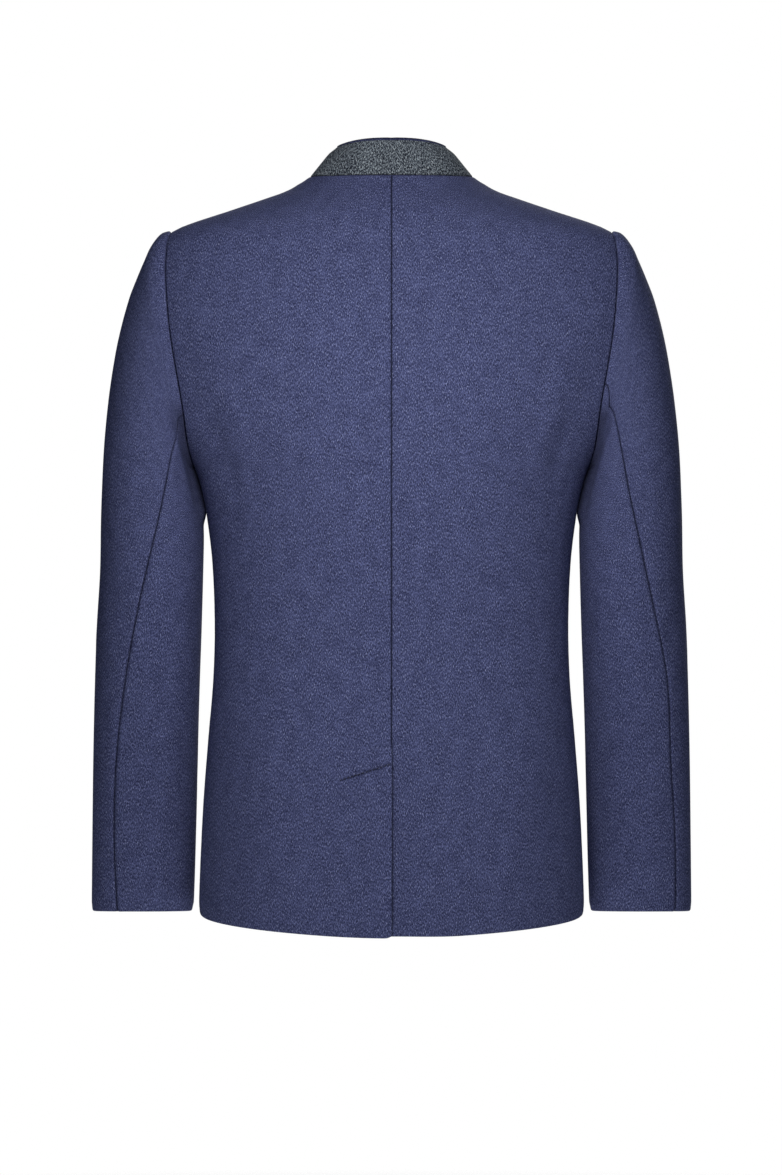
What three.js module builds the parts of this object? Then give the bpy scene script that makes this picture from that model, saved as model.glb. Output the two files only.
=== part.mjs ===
import * as THREE from "three";

// Loden jacket in its worn, hollow form: back with a centre seam and vent, lapped fronts, two-piece
// sleeves and a stand collar. Millimetres, +Z up. The back faces +Y, the wearer's left is towards +X.
// The origin is the middle of the neck opening, at the height of the back collar seam.

// Cloth
const clothThick = 2.4;
const collarThick = 2;
const seamGap = 0.3;

// Heights, measured down from the back collar seam
const shoulderEndZ = -53;
const underarmZ = -281;
const ventTopZ = -563;
const hemZ = -703;
const backHemDrop = 15;
const frontHemDrop = 6;
const hemDropStartZ = -500;

// Form
const bodySquareness = 2.3;
const sleeveSquareness = 2.2;
const sideSeamForward = 8;
const sideSeamBend = 60;

// Neck and collar
const neckHalfWidth = 76;
const necklineFullness = 1.5;
const necklineEnd = 0.8;
const collarRiseBack = 37;
const collarRiseSide = 29;
const collarRiseFront = 34;
const collarLeanSide = 0.73;
const collarLeanBack = 0.81;
const collarLeanFront = 0.86;
const collarCornerShare = 0.86;
const collarFrontGap = 3;
const innerCollarStands = 1.6;

// Laps
const frontLap = 20;
const frontLapBlend = { from: 34, to: 60 };
const lapDepth = clothThick + 0.5;
const ventUnderlap = 48;
const ventTopSlant = 14;
const ventRoot = 8;
const underlapShorter = 2;
const underlapSunk = 0.2;

// Buttons on the front
const buttonRadius = 10;
const buttonThick = 3.6;
const buttonRim = 1.1;
const buttonSegments = 14;
const buttonZ = [-92, -187, -282, -377, -472];

// Grid of each wall
const bodyColumns = 10;
const frontColumns = 10;
const underlapColumns = 5;
const underlapRows = 6;
const collarRows = 3;
const shoulderRows = 7;
const armholeRows = 16;
const skirtRows = 11;
const shoulderCrowding = 1.3;
const sleeveRings = 19;
const ringCrowding = 1.35;
const sleeveLength = 672;
const sleeveColumns = 2 * armholeRows;
const hindSeamRow = { left: 11, right: 9 };
const foreSeamRow = 10;

// Half width and depths of the form, and how far out the armhole seam is cut into it
const bodyTable = [
  { z: 6, width: 71, seam: 211, back: 54, front: 44 },
  { z: 0, width: 76, seam: 211, back: 58, front: 48 },
  { z: -7, width: 88, seam: 211, back: 64, front: 52 },
  { z: -14, width: 101, seam: 211, back: 70, front: 56 },
  { z: -22, width: 124, seam: 211, back: 77, front: 60 },
  { z: -34, width: 159.5, seam: 211, back: 87, front: 66 },
  { z: -45, width: 193, seam: 211, back: 93, front: 70 },
  { z: -53, width: 211, seam: 211, back: 97, front: 73.5 },
  { z: -64, width: 225, seam: 214.5, back: 101, front: 79 },
  { z: -90, width: 237, seam: 216, back: 110, front: 95 },
  { z: -120, width: 241.5, seam: 214.5, back: 118, front: 113 },
  { z: -150, width: 240.5, seam: 211.5, back: 124.5, front: 125 },
  { z: -186, width: 234, seam: 205.5, back: 129, front: 134 },
  { z: -224, width: 221, seam: 198, back: 130.5, front: 139 },
  { z: -255, width: 203, seam: 192.5, back: 129.5, front: 141 },
  { z: -281, width: 188, seam: 188, back: 127.5, front: 140.5 },
  { z: -306, width: 180.8, seam: 188, back: 125, front: 138 },
  { z: -330, width: 176.6, seam: 188, back: 121.5, front: 136 },
  { z: -370, width: 172, seam: 188, back: 116, front: 132 },
  { z: -425, width: 169.8, seam: 188, back: 110.5, front: 129 },
  { z: -480, width: 171, seam: 188, back: 112, front: 130 },
  { z: -540, width: 176, seam: 188, back: 118.5, front: 133 },
  { z: -600, width: 180.6, seam: 188, back: 125.5, front: 136 },
  { z: -660, width: 183.6, seam: 188, back: 130.5, front: 138 },
  { z: -703, width: 185.2, seam: 188, back: 133, front: 139 },
];

// Soft fullness and hollows of the body: angle in degrees round from the wearer's left, 90 at centre back
const bodyFolds = [
  { angle: 60, z: -175, around: 19, tall: 85, out: 4 },
  { angle: 121, z: -170, around: 19, tall: 85, out: 4 },
  { angle: 90, z: -240, around: 8, tall: 190, out: -3 },
  { angle: 90, z: -455, around: 11, tall: 95, out: -3.5 },
  { angle: 42, z: -610, around: 13, tall: 120, out: 3 },
  { angle: 136, z: -620, around: 14, tall: 110, out: 3 },
  { angle: -55, z: -215, around: 20, tall: 80, out: 4 },
  { angle: -125, z: -215, around: 20, tall: 80, out: 4 },
  { angle: -68, z: -600, around: 13, tall: 120, out: 2.5 },
  { angle: -112, z: -610, around: 13, tall: 120, out: 2.5 },
];

// Sleeve rings by their length down the outside from the crown: outer and inner edge, with the middle
// and half depth front to back
const sleeveTable = [
  { down: 0, outX: 211.4, outZ: -53, inX: 187.8, inZ: -281, midY: -3, halfY: 74 },
  { down: 10, outX: 220.8, outZ: -55.4, inX: 188.8, inZ: -282, midY: -3, halfY: 74.5 },
  { down: 25, outX: 231, outZ: -67, inX: 189.4, inZ: -283, midY: -3, halfY: 75 },
  { down: 39, outX: 237, outZ: -79.5, inX: 189.6, inZ: -284, midY: -3, halfY: 75 },
  { down: 60, outX: 245, outZ: -98.5, inX: 189.6, inZ: -286, midY: -3, halfY: 75 },
  { down: 80, outX: 252.3, outZ: -118, inX: 189.3, inZ: -288.5, midY: -3, halfY: 75 },
  { down: 120, outX: 262, outZ: -156, inX: 188, inZ: -294, midY: -3, halfY: 75 },
  { down: 160, outX: 268.5, outZ: -195, inX: 186, inZ: -301, midY: -3.5, halfY: 74.5 },
  { down: 200, outX: 273, outZ: -234, inX: 183.6, inZ: -311, midY: -4, halfY: 74 },
  { down: 240, outX: 276.5, outZ: -274, inX: 181.2, inZ: -325, midY: -5, halfY: 73 },
  { down: 280, outX: 278.6, outZ: -314, inX: 180.2, inZ: -342, midY: -6.5, halfY: 71.5 },
  { down: 330, outX: 280.4, outZ: -364, inX: 180.6, inZ: -371, midY: -9, halfY: 69 },
  { down: 372, outX: 282.2, outZ: -406, inX: 181.6, inZ: -408, midY: -12.5, halfY: 65.5 },
  { down: 448, outX: 285.2, outZ: -482, inX: 184.2, inZ: -483, midY: -20, halfY: 59 },
  { down: 525, outX: 287.2, outZ: -559, inX: 186.8, inZ: -559, midY: -30, halfY: 52.5 },
  { down: 600, outX: 288.4, outZ: -634, inX: 189.4, inZ: -634, midY: -41, halfY: 47 },
  { down: 672, outX: 289.4, outZ: -706, inX: 191.4, inZ: -706, midY: -52, halfY: 43.5 },
];
// How far out the hind seam of each sleeve lies, from where the sleeve hangs clear of the armhole
const hindSeamTable = [
  { down: 280, left: 222.5, right: 232 },
  { down: 330, left: 231.5, right: 240.5 },
  { down: 372, left: 240.5, right: 249 },
  { down: 448, left: 255, right: 264.5 },
  { down: 525, left: 264.5, right: 268.5 },
  { down: 600, left: 267, right: 273 },
  { down: 672, left: 264.5, right: 274 },
];
const foreSeamAngle = 245;
const hangingFrom = 280;
const armholeShapeLength = 90;

// Soft breaks of the sleeves: angle in degrees round each ring from its outer edge, 90 at the back
const sleeveFolds = [
  { down: 345, angle: 300, along: 34, around: 60, out: -3.5 },
  { down: 400, angle: 285, along: 26, around: 50, out: 2.5 },
  { down: 380, angle: 95, along: 60, around: 40, out: 3 },
  { down: 560, angle: 140, along: 120, around: 26, out: -3 },
  { down: 215, angle: 50, along: 70, around: 30, out: 2 },
];

function finish(name, color, roughness) {
  return new THREE.MeshStandardMaterial({ name, color, roughness, metalness: 0 });
}

const navy = finish("loden_navy", 0x434869, 0.95);
const charcoal = finish("loden_charcoal", 0x4d545e, 0.95);
const horn = finish("horn", 0x4a3a2c, 0.45);

function clamp(value) {
  return Math.min(1, Math.max(0, value));
}

function mix(from, to, share) {
  return from + (to - from) * share;
}

function ease(value) {
  const t = clamp(value);
  return t * t * (3 - 2 * t);
}

// Smooth value of one column of a table, at a place along its key column
function read(table, key, column, at) {
  const falling = table[1][key] < table[0][key];
  let k = 0;
  while (k < table.length - 2 && (falling ? at < table[k + 1][key] : at > table[k + 1][key])) k += 1;
  const slope = (n) => {
    const before = table[Math.max(0, n - 1)];
    const after = table[Math.min(table.length - 1, n + 1)];
    return (after[column] - before[column]) / (after[key] - before[key]);
  };
  const span = table[k + 1][key] - table[k][key];
  const t = clamp((at - table[k][key]) / span);
  const t2 = t * t;
  const t3 = t2 * t;
  return (2 * t3 - 3 * t2 + 1) * table[k][column] + (t3 - 2 * t2 + t) * span * slope(k)
    + (3 * t2 - 2 * t3) * table[k + 1][column] + (t3 - t2) * span * slope(k + 1);
}

function degreesApart(a, b) {
  return Math.abs(((a - b + 540) % 360 + 360) % 360 - 180);
}

// The body's form is a stack of superellipse sections
function bodyTableAt(z, column) {
  return read(bodyTable, "z", column, z);
}

function ringRadius(angle, across, deep, squareness) {
  const c = Math.pow(Math.abs(Math.cos(angle)) / across, squareness);
  const s = Math.pow(Math.abs(Math.sin(angle)) / deep, squareness);
  return Math.pow(c + s, -1 / squareness);
}

function bodyPoint(angle, z) {
  const deep = bodyTableAt(z, Math.sin(angle) >= 0 ? "back" : "front");
  let radius = ringRadius(angle, bodyTableAt(z, "width"), deep, bodySquareness);
  for (const fold of bodyFolds) {
    const around = degreesApart(THREE.MathUtils.radToDeg(angle), fold.angle) / fold.around;
    const along = (z - fold.z) / fold.tall;
    radius += fold.out * Math.exp(-around * around - along * along);
  }
  const drop = Math.sin(angle) >= 0 ? backHemDrop : frontHemDrop;
  const share = ease((hemDropStartZ - z) / (hemDropStartZ - hemZ));
  const height = z - drop * share * Math.abs(Math.sin(angle));
  return new THREE.Vector3(radius * Math.cos(angle), radius * Math.sin(angle), height);
}

function bodyNormal(angle, z) {
  const step = 0.01;
  const rise = z > -1 ? [-1, 0] : [-0.5, 0.5];
  const round = bodyPoint(angle + step, z).sub(bodyPoint(angle - step, z));
  const up = bodyPoint(angle, z + rise[1]).sub(bodyPoint(angle, z + rise[0]));
  return round.cross(up).normalize();
}

// Angle, from the side, at which a section crosses a distance from the middle
function angleAcross(across, z, face) {
  const deep = bodyTableAt(z, face);
  const share = clamp(across / bodyTableAt(z, "width"));
  return Math.atan2(deep * Math.pow(1 - Math.pow(share, bodySquareness), 1 / bodySquareness), across);
}

// Places one wall point: sunk below the form by its lap, with the cloth's thickness behind it
function wallPoint(angle, z, sunk, thick) {
  const point = bodyPoint(angle, z);
  const normal = bodyNormal(angle, z);
  return {
    out: point.clone().addScaledVector(normal, -sunk),
    in: point.clone().addScaledVector(normal, -sunk - thick),
  };
}

// Moves one edge of a row of wall points in by half a seam gap
function trimmed(row) {
  const pull = (edge, next) => {
    const share = seamGap / 2 / edge.out.distanceTo(next.out);
    return { out: edge.out.clone().lerp(next.out, share), in: edge.in.clone().lerp(next.in, share) };
  };
  const last = row.length - 1;
  return [pull(row[0], row[1]), ...row.slice(1, last), pull(row[last], row[last - 1])];
}

// Closes a grid of wall points into a solid with four rims
function wallGeometry(grid) {
  const rows = grid.length;
  const columns = grid[0].length;
  const positions = [];
  for (const face of ["out", "in"]) {
    for (const row of grid) {
      for (const place of row) positions.push(place[face].x, place[face].y, place[face].z);
    }
  }
  const outer = (r, c) => r * columns + c;
  const inner = (r, c) => rows * columns + r * columns + c;
  const index = [];
  const quad = (a, b, c, d) => index.push(a, b, c, a, c, d);
  for (let r = 0; r < rows - 1; r += 1) {
    for (let c = 0; c < columns - 1; c += 1) {
      quad(outer(r, c), outer(r, c + 1), outer(r + 1, c + 1), outer(r + 1, c));
      quad(inner(r, c), inner(r + 1, c), inner(r + 1, c + 1), inner(r, c + 1));
    }
  }
  for (let r = 0; r < rows - 1; r += 1) {
    quad(outer(r, 0), outer(r + 1, 0), inner(r + 1, 0), inner(r, 0));
    quad(outer(r, columns - 1), inner(r, columns - 1), inner(r + 1, columns - 1), outer(r + 1, columns - 1));
  }
  for (let c = 0; c < columns - 1; c += 1) {
    quad(outer(0, c + 1), outer(0, c), inner(0, c), inner(0, c + 1));
    quad(outer(rows - 1, c), outer(rows - 1, c + 1), inner(rows - 1, c + 1), inner(rows - 1, c));
  }
  return facingOut(positions, index);
}

// A geometry of the given triangles, turned over as a whole when they face inwards
function facingOut(positions, index) {
  const at = (n) => new THREE.Vector3(positions[3 * n], positions[3 * n + 1], positions[3 * n + 2]);
  let volume = 0;
  for (let n = 0; n < index.length; n += 3) {
    volume += at(index[n]).dot(at(index[n + 1]).cross(at(index[n + 2])));
  }
  const turned = [];
  for (let n = 0; n < index.length; n += 3) {
    const [second, third] = volume < 0 ? [n + 2, n + 1] : [n + 1, n + 2];
    turned.push(index[n], index[second], index[third]);
  }
  const geometry = new THREE.BufferGeometry();
  geometry.setAttribute("position", new THREE.Float32BufferAttribute(positions, 3));
  geometry.setIndex(turned);
  geometry.computeVertexNormals();
  return geometry;
}

// Heights of the rows: along the shoulder, down the armhole, then to the hem
function rowHeights() {
  const heights = [];
  for (let k = 0; k < shoulderRows; k += 1) {
    heights.push(shoulderEndZ * Math.pow(k / shoulderRows, shoulderCrowding));
  }
  for (let k = 0; k < armholeRows; k += 1) {
    heights.push(mix(shoulderEndZ, underarmZ, (1 - Math.cos((Math.PI * k) / armholeRows)) / 2));
  }
  for (let k = 0; k <= skirtRows; k += 1) heights.push(mix(underarmZ, hemZ, k / skirtRows));
  return heights;
}

const heights = rowHeights();
const crownRow = shoulderRows;
const underarmRow = shoulderRows + armholeRows;
const neckBottomRow = crownRow + 2;
const neckPointZ = heights[1] / 3;

// Angle from the side at which a row ends: the shoulder ridge, the armhole seam or the side seam
function outerAngle(row, face) {
  const z = heights[row];
  if (row <= crownRow) return 0;
  if (row < underarmRow) return angleAcross(bodyTableAt(z, "seam"), z, face);
  const seam = Math.asin(sideSeamForward / bodyTableAt(z, "width")) * ease((underarmZ - z) / sideSeamBend);
  return face === "back" ? -seam : seam;
}

// Turns an angle counted from the side into one round the body
function turn(angle, side, face) {
  const signed = face === "back" ? angle : -angle;
  return side > 0 ? signed : Math.PI - signed;
}

function backGrid(side) {
  return heights.map((z, row) => {
    const places = [];
    for (let c = 0; c <= bodyColumns; c += 1) {
      const angle = mix(Math.PI / 2, outerAngle(row, "back"), c / bodyColumns);
      places.push(wallPoint(turn(angle, side, "back"), z, 0, clothThick));
    }
    return places;
  });
}

// Half width of the front neckline at a height
function neckline(z) {
  const share = clamp(z / heights[neckBottomRow]);
  return neckHalfWidth * Math.pow(1 - Math.pow(share, necklineFullness), necklineEnd);
}

function frontGrid(side) {
  return heights.map((level, row) => {
    const z = row === 0 ? neckPointZ : level;
    const start = row < neckBottomRow
      ? angleAcross(neckline(z), z, "front")
      : Math.PI / 2 + Math.asin(frontLap / bodyTableAt(z, "front"));
    const places = [];
    for (let c = 0; c <= frontColumns; c += 1) {
      const angle = mix(start, outerAngle(row, "front"), c / frontColumns);
      const across = bodyPoint(turn(angle, side, "front"), z).x;
      const span = frontLapBlend.to - frontLapBlend.from;
      const sunk = side < 0 ? lapDepth * (1 - ease((-across - frontLapBlend.from) / span)) : 0;
      places.push(wallPoint(turn(angle, side, "front"), z, sunk, clothThick));
    }
    return places;
  });
}

// The strip that carries the right back on under the left one, below the top of the vent
function ventUnderlapGrid() {
  const grid = [];
  for (let r = 0; r <= underlapRows; r += 1) {
    const places = [];
    for (let c = 0; c <= underlapColumns; c += 1) {
      const across = mix(-ventRoot, ventUnderlap, c / underlapColumns);
      const top = ventTopZ - (ventTopSlant * Math.max(0, across)) / ventUnderlap;
      const z = mix(top, hemZ + underlapShorter, r / underlapRows);
      const angle = Math.PI / 2 - Math.asin(across / bodyTableAt(z, "back"));
      places.push(wallPoint(angle, z, lapDepth + underlapSunk, clothThick - 2 * underlapSunk));
    }
    grid.push(places);
  }
  return grid;
}

// One ring of the sleeve: a superellipse across the line from its inner to its outer edge
function sleeveFrame(down) {
  const at = (column) => read(sleeveTable, "down", column, down);
  const outer = new THREE.Vector3(at("outX"), at("midY"), at("outZ"));
  const inner = new THREE.Vector3(at("inX"), at("midY"), at("inZ"));
  const across = outer.clone().sub(inner);
  return {
    middle: outer.clone().lerp(inner, 0.5),
    half: across.length() / 2,
    way: across.normalize(),
    deep: at("halfY"),
  };
}

function sleevePoint(down, angle) {
  const frame = sleeveFrame(down);
  let radius = ringRadius(angle, frame.half, frame.deep, sleeveSquareness);
  for (const fold of sleeveFolds) {
    const around = degreesApart(THREE.MathUtils.radToDeg(angle), fold.angle) / fold.around;
    const along = (down - fold.down) / fold.along;
    radius += fold.out * Math.exp(-around * around - along * along);
  }
  const point = frame.middle.clone().addScaledVector(frame.way, radius * Math.cos(angle));
  point.y += radius * Math.sin(angle);
  return point;
}

// Angle of the hind seam on a hanging ring, from the width at which it shows
function hindAngle(down, sideName) {
  const frame = sleeveFrame(down);
  const off = read(hindSeamTable, "down", sideName, down) - frame.middle.x;
  const share = clamp(Math.abs(off) / frame.half);
  const depth = frame.deep * Math.pow(1 - Math.pow(share, sleeveSquareness), 1 / sleeveSquareness);
  return Math.atan2(depth, off);
}

// Rings of wall points from the armhole seam to the cuff; column 0 is at the shoulder seam and the
// columns run down the back of the armhole and up its front
function sleeveGrid(side, back, front) {
  const seam = [];
  for (let k = 0; k < armholeRows; k += 1) seam.push(back[crownRow + k][bodyColumns].out);
  for (let k = armholeRows; k > 0; k -= 1) seam.push(front[crownRow + k][frontColumns].out);
  const armhole = seam.map((point) => new THREE.Vector3(side * point.x, point.y, point.z));
  const start = sleeveFrame(0);
  const startAngle = armhole.map((point) => {
    const off = point.clone().sub(start.middle);
    const angle = Math.atan2(off.y, off.dot(start.way));
    return angle < 0 ? angle + 2 * Math.PI : angle;
  });
  startAngle[0] = 0;
  const apart = armhole.map((point, c) => point.clone().sub(sleevePoint(0, startAngle[c])));
  const hindColumn = side > 0 ? hindSeamRow.left : hindSeamRow.right;
  const foreColumn = sleeveColumns - foreSeamRow;
  const fore = THREE.MathUtils.degToRad(foreSeamAngle);
  const points = [];
  for (let k = 0; k <= sleeveRings; k += 1) {
    const down = sleeveLength * Math.pow(k / sleeveRings, ringCrowding);
    const hind = hindAngle(Math.max(down, hangingFrom), side > 0 ? "left" : "right");
    const settled = ease(down / hangingFrom);
    const row = [];
    for (let c = 0; c < sleeveColumns; c += 1) {
      let hanging = mix(0, hind, c / hindColumn);
      if (c > hindColumn) hanging = mix(hind, fore, (c - hindColumn) / (foreColumn - hindColumn));
      if (c > foreColumn) hanging = mix(fore, 2 * Math.PI, (c - foreColumn) / (sleeveColumns - foreColumn));
      const point = sleevePoint(down, mix(startAngle[c], hanging, settled));
      point.addScaledVector(apart[c], 1 - ease(down / armholeShapeLength));
      row.push(point);
    }
    points.push(row);
  }
  return thickened(points, side);
}

// Gives rings of points a wall on their inside
function thickened(points, side) {
  const around = points[0].length;
  const mirrored = (point) => new THREE.Vector3(side * point.x, point.y, point.z);
  return points.map((row, k) => row.map((point, c) => {
    const before = points[Math.max(0, k - 1)][c];
    const after = points[Math.min(points.length - 1, k + 1)][c];
    const down = after.clone().sub(before);
    const round = row[(c + 1) % around].clone().sub(row[(c + around - 1) % around]);
    const normal = down.cross(round).normalize();
    return { out: mirrored(point), in: mirrored(point.clone().addScaledVector(normal, -clothThick)) };
  }));
}

// Cuts one piece of a sleeve out of its rings
function sleevePiece(rings, from, to) {
  return rings.map((ring) => {
    const row = [];
    for (let c = from; c <= to; c += 1) row.push(ring[c % sleeveColumns]);
    return trimmed(row);
  });
}

// The neckline from the centre front of one side round to the centre back
function neckEdge(side, back, front) {
  const centre = (() => {
    const upper = front[neckBottomRow - 1][0].out;
    const lower = front[neckBottomRow][0].out;
    const share = (Math.abs(upper.x) - collarFrontGap / 2) / (Math.abs(upper.x) + frontLap);
    return upper.clone().lerp(lower, share);
  })();
  const edge = [centre];
  for (let row = neckBottomRow - 1; row >= 0; row -= 1) edge.push(front[row][0].out);
  for (let c = bodyColumns; c >= 0; c -= 1) edge.push(back[0][c].out);
  return edge;
}

// Top edge of the collar above a point of the neckline
function collarTop(base, share) {
  const round = clamp(Math.abs(base.x) / neckHalfWidth);
  const rearward = base.y > 0;
  const leanY = rearward ? collarLeanBack : collarLeanFront;
  const rise = mix(rearward ? collarRiseBack : collarRiseFront, collarRiseSide, Math.pow(round, 3));
  return new THREE.Vector3(
    base.x * mix(1, collarLeanSide, share),
    base.y * mix(1, leanY, share),
    base.z + seamGap + rise * share,
  );
}

// One layer of the collar: sunk behind the outer face, and standing higher by its extra
function collarGrid(edge, sunk, thick, extra) {
  const surface = [];
  for (let r = 0; r <= collarRows; r += 1) {
    surface.push(edge.map((base, c) => {
      const rounded = c === 0 || c === edge.length - 1 ? collarCornerShare : 1;
      return collarTop(base, (r / collarRows) * (r === collarRows ? rounded : 1));
    }));
  }
  return surface.map((row, r) => row.map((point, c) => {
    const round = row[Math.min(row.length - 1, c + 1)].clone().sub(row[Math.max(0, c - 1)]);
    const up = surface[Math.min(collarRows, r + 1)][c].clone().sub(surface[Math.max(0, r - 1)][c]);
    const normal = round.cross(up).normalize();
    const raised = point.clone().addScaledVector(up.normalize(), r === collarRows ? extra : 0);
    return {
      out: raised.clone().addScaledVector(normal, -sunk),
      in: raised.clone().addScaledVector(normal, -sunk - thick),
    };
  }));
}

// A plain sewn button: a disc with a raised rim and a hollowed face
function buttonGeometry() {
  const profile = [
    [0, 0], [0.86, 0], [1, 0.34], [1, 0.72], [0.9, 1], [0.74, 1],
  ].map(([across, up]) => new THREE.Vector2(across * buttonRadius, up * buttonThick));
  profile.push(new THREE.Vector2(0.62 * buttonRadius, buttonThick - buttonRim));
  profile.push(new THREE.Vector2(0, buttonThick - buttonRim));
  return new THREE.LatheGeometry(profile, buttonSegments);
}

function named(name, geometry, material) {
  const mesh = new THREE.Mesh(geometry, material);
  mesh.name = name;
  return mesh;
}

const jacket = new THREE.Group();
const sides = [{ name: "left", side: 1 }, { name: "right", side: -1 }];
const edges = {};

for (const { name, side } of sides) {
  const back = backGrid(side);
  const front = frontGrid(side);
  jacket.add(named(`back_${name}`, wallGeometry(back.map(trimmed)), navy));
  jacket.add(named(`front_${name}`, wallGeometry(front.map(trimmed)), navy));
  const rings = sleeveGrid(side, back, front);
  const hind = side > 0 ? hindSeamRow.left : hindSeamRow.right;
  const fore = sleeveColumns - foreSeamRow;
  const under = sleevePiece(rings, hind, fore);
  const top = sleevePiece(rings, fore, sleeveColumns + hind);
  jacket.add(named(`sleeve_${name}_under`, wallGeometry(under), navy));
  jacket.add(named(`sleeve_${name}_top`, wallGeometry(top), navy));
  edges[name] = neckEdge(side, back, front);
}

jacket.add(named("vent_underlap", wallGeometry(ventUnderlapGrid()), navy));

const neck = [...edges.left, ...edges.right.slice(0, -1).reverse()];
const outerLayer = collarGrid(neck, 0, collarThick, 0);
const innerLayer = collarGrid(neck, collarThick + seamGap, collarThick, innerCollarStands);
jacket.add(named("collar_outer", wallGeometry(outerLayer), charcoal));
jacket.add(named("collar_inner", wallGeometry(innerLayer), navy));

buttonZ.forEach((z, n) => {
  const button = named(`button_${n + 1}`, buttonGeometry(), horn);
  const seat = bodyPoint(-Math.PI / 2, z);
  const normal = bodyNormal(-Math.PI / 2, z);
  button.position.copy(seat.addScaledVector(normal, seamGap));
  button.quaternion.setFromUnitVectors(new THREE.Vector3(0, 1, 0), normal);
  jacket.add(button);
});

export default jacket;
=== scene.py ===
import math

import bmesh
import bpy
import numpy as np
from mathutils import Matrix, Vector
from mathutils.kdtree import KDTree


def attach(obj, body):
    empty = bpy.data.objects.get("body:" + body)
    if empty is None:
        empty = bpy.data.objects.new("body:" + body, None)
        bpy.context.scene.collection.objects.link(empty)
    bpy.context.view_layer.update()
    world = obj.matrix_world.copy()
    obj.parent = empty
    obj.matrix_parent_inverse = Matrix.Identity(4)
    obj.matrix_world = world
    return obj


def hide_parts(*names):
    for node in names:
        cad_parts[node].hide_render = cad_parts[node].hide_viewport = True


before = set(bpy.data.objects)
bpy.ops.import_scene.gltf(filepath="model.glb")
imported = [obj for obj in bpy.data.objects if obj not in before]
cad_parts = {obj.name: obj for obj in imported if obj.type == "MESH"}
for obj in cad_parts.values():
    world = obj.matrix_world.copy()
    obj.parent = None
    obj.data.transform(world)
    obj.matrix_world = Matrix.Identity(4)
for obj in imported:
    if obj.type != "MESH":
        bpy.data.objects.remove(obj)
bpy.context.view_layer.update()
millimetre = 0.001

cloth = {
    "thick": 2.4,
    "collarThick": 2.0,
    "seamGap": 0.3,
    "lapDepth": 2.9,
    "roundShare": 0.88,  # how much of its half thickness an edge is rounded over
    "edgeSteps": [0, 0.12, 0.35, 0.7, 1.15, 1.8, 2.8, 4.4, 6.8],  # mesh columns beside an edge
    "edgeRows": 16,  # rows at top and bottom that are measured from the edge all across
    "edgeFine": 0.25,
    "narrowUnder": 40,  # a piece narrower than this has its edge columns closer together
    "hemTurn": 36,  # depth of the turned-up hem and cuff
    "hemExtra": 1.4,
    "hemBlend": 2.5,
    "hemRoll": 1.5,
    "seamDepth": 0.7,
    "seamSpread": 1.6,
    "shadeSpread": 0.8,
    "creaseBow": 0.12,
    "puckerWaves": [(2.1, 1.3, 17, 1.0), (3.7, 2, 29, 0.7)],  # length, bend, drift and share of each wave
    "puckerReach": 7,
}

# Height, half width, armhole seam, depth of the back and depth of the front
bodyTable = np.array([
    (6, 71.5, 211, 54, 44), (0, 78, 211, 58, 48), (-7, 89, 211, 64, 52), (-14, 101.5, 211, 70, 56),
    (-22, 124, 211, 77, 60), (-34, 159.5, 211, 87, 66), (-45, 193, 211, 93, 70),
    (-53, 211, 211, 97, 73.5), (-64, 225, 214.5, 101, 79), (-90, 237, 216, 110, 95),
    (-120, 241.5, 214.5, 118, 113), (-150, 240.5, 211.5, 124.5, 125), (-186, 234, 205.5, 129, 134),
    (-224, 221, 198, 130.5, 139), (-255, 203, 192.5, 129.5, 141), (-281, 188, 188, 127.5, 140.5),
    (-306, 180.8, 188, 125, 138), (-330, 176.6, 188, 121.5, 136), (-370, 172, 188, 116, 132),
    (-425, 169.8, 188, 110.5, 129), (-480, 171, 188, 112, 130), (-540, 176, 188, 118.5, 133),
    (-600, 180.6, 188, 125.5, 136), (-660, 183.6, 188, 130.5, 138), (-707, 185.2, 188, 133, 139),
], float)
bodyColumn = {"width": 1, "seam": 2, "back": 3, "front": 4}

# Angle round from the wearer's left, height, half spread round, half spread along, outwards
bodyFolds = [
    (60, -175, 19, 85, 4), (121, -170, 19, 85, 4), (90, -240, 8, 190, -3), (90, -455, 11, 95, -3.5),
    (42, -610, 13, 120, 3), (136, -620, 14, 110, 3), (-55, -215, 20, 80, 4), (-125, -215, 20, 80, 4),
    (-68, -600, 13, 120, 2.5), (-112, -610, 13, 120, 2.5),
    (15, -266, 9, 55, 3), (165, -266, 9, 55, 3),
]

body = {
    "squareness": 2.3,
    "shoulderEndZ": -53, "underarmZ": -281, "ventTopZ": -557.5, "hemZ": -706.5,
    "armholeSeam": 0.4, "armholeSeamRamp": 8,
    "hemDropStartZ": -500, "backHemDrop": 20, "frontHemDrop": 6,
    "sideSeamForward": 8, "sideSeamBend": 60,
    "neckHalfWidth": 78, "neckBottomZ": -61.68, "neckPointZ": -1.41, "neckJoinZ": -4.22,
    "neckSlantZ": -55.19, "necklineFullness": 1.5, "necklineEnd": 0.8,
    "frontLap": 20, "lapBlendFrom": 34, "lapBlendTo": 60,
    "ventBlend": 16, "ventDip": 23,
}


def ease(value):
    t = np.clip(value, 0, 1)
    return t * t * (3 - 2 * t)


def mix(a, b, share):
    return a + (b - a) * share


def read(table, column, at):
    key, value = table[:, 0], table[:, column]
    if key[0] > key[-1]:
        key, at = -key, -np.asarray(at, float)
    slope = np.empty_like(value)
    slope[1:-1] = (value[2:] - value[:-2]) / (key[2:] - key[:-2])
    slope[0] = (value[1] - value[0]) / (key[1] - key[0])
    slope[-1] = (value[-1] - value[-2]) / (key[-1] - key[-2])
    k = np.clip(np.searchsorted(key, at, side="right") - 1, 0, len(key) - 2)
    span = key[k + 1] - key[k]
    t = np.clip((at - key[k]) / span, 0, 1)
    t2, t3 = t * t, t * t * t
    return ((2 * t3 - 3 * t2 + 1) * value[k] + (t3 - 2 * t2 + t) * span * slope[k]
            + (3 * t2 - 2 * t3) * value[k + 1] + (t3 - t2) * span * slope[k + 1])


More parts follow.
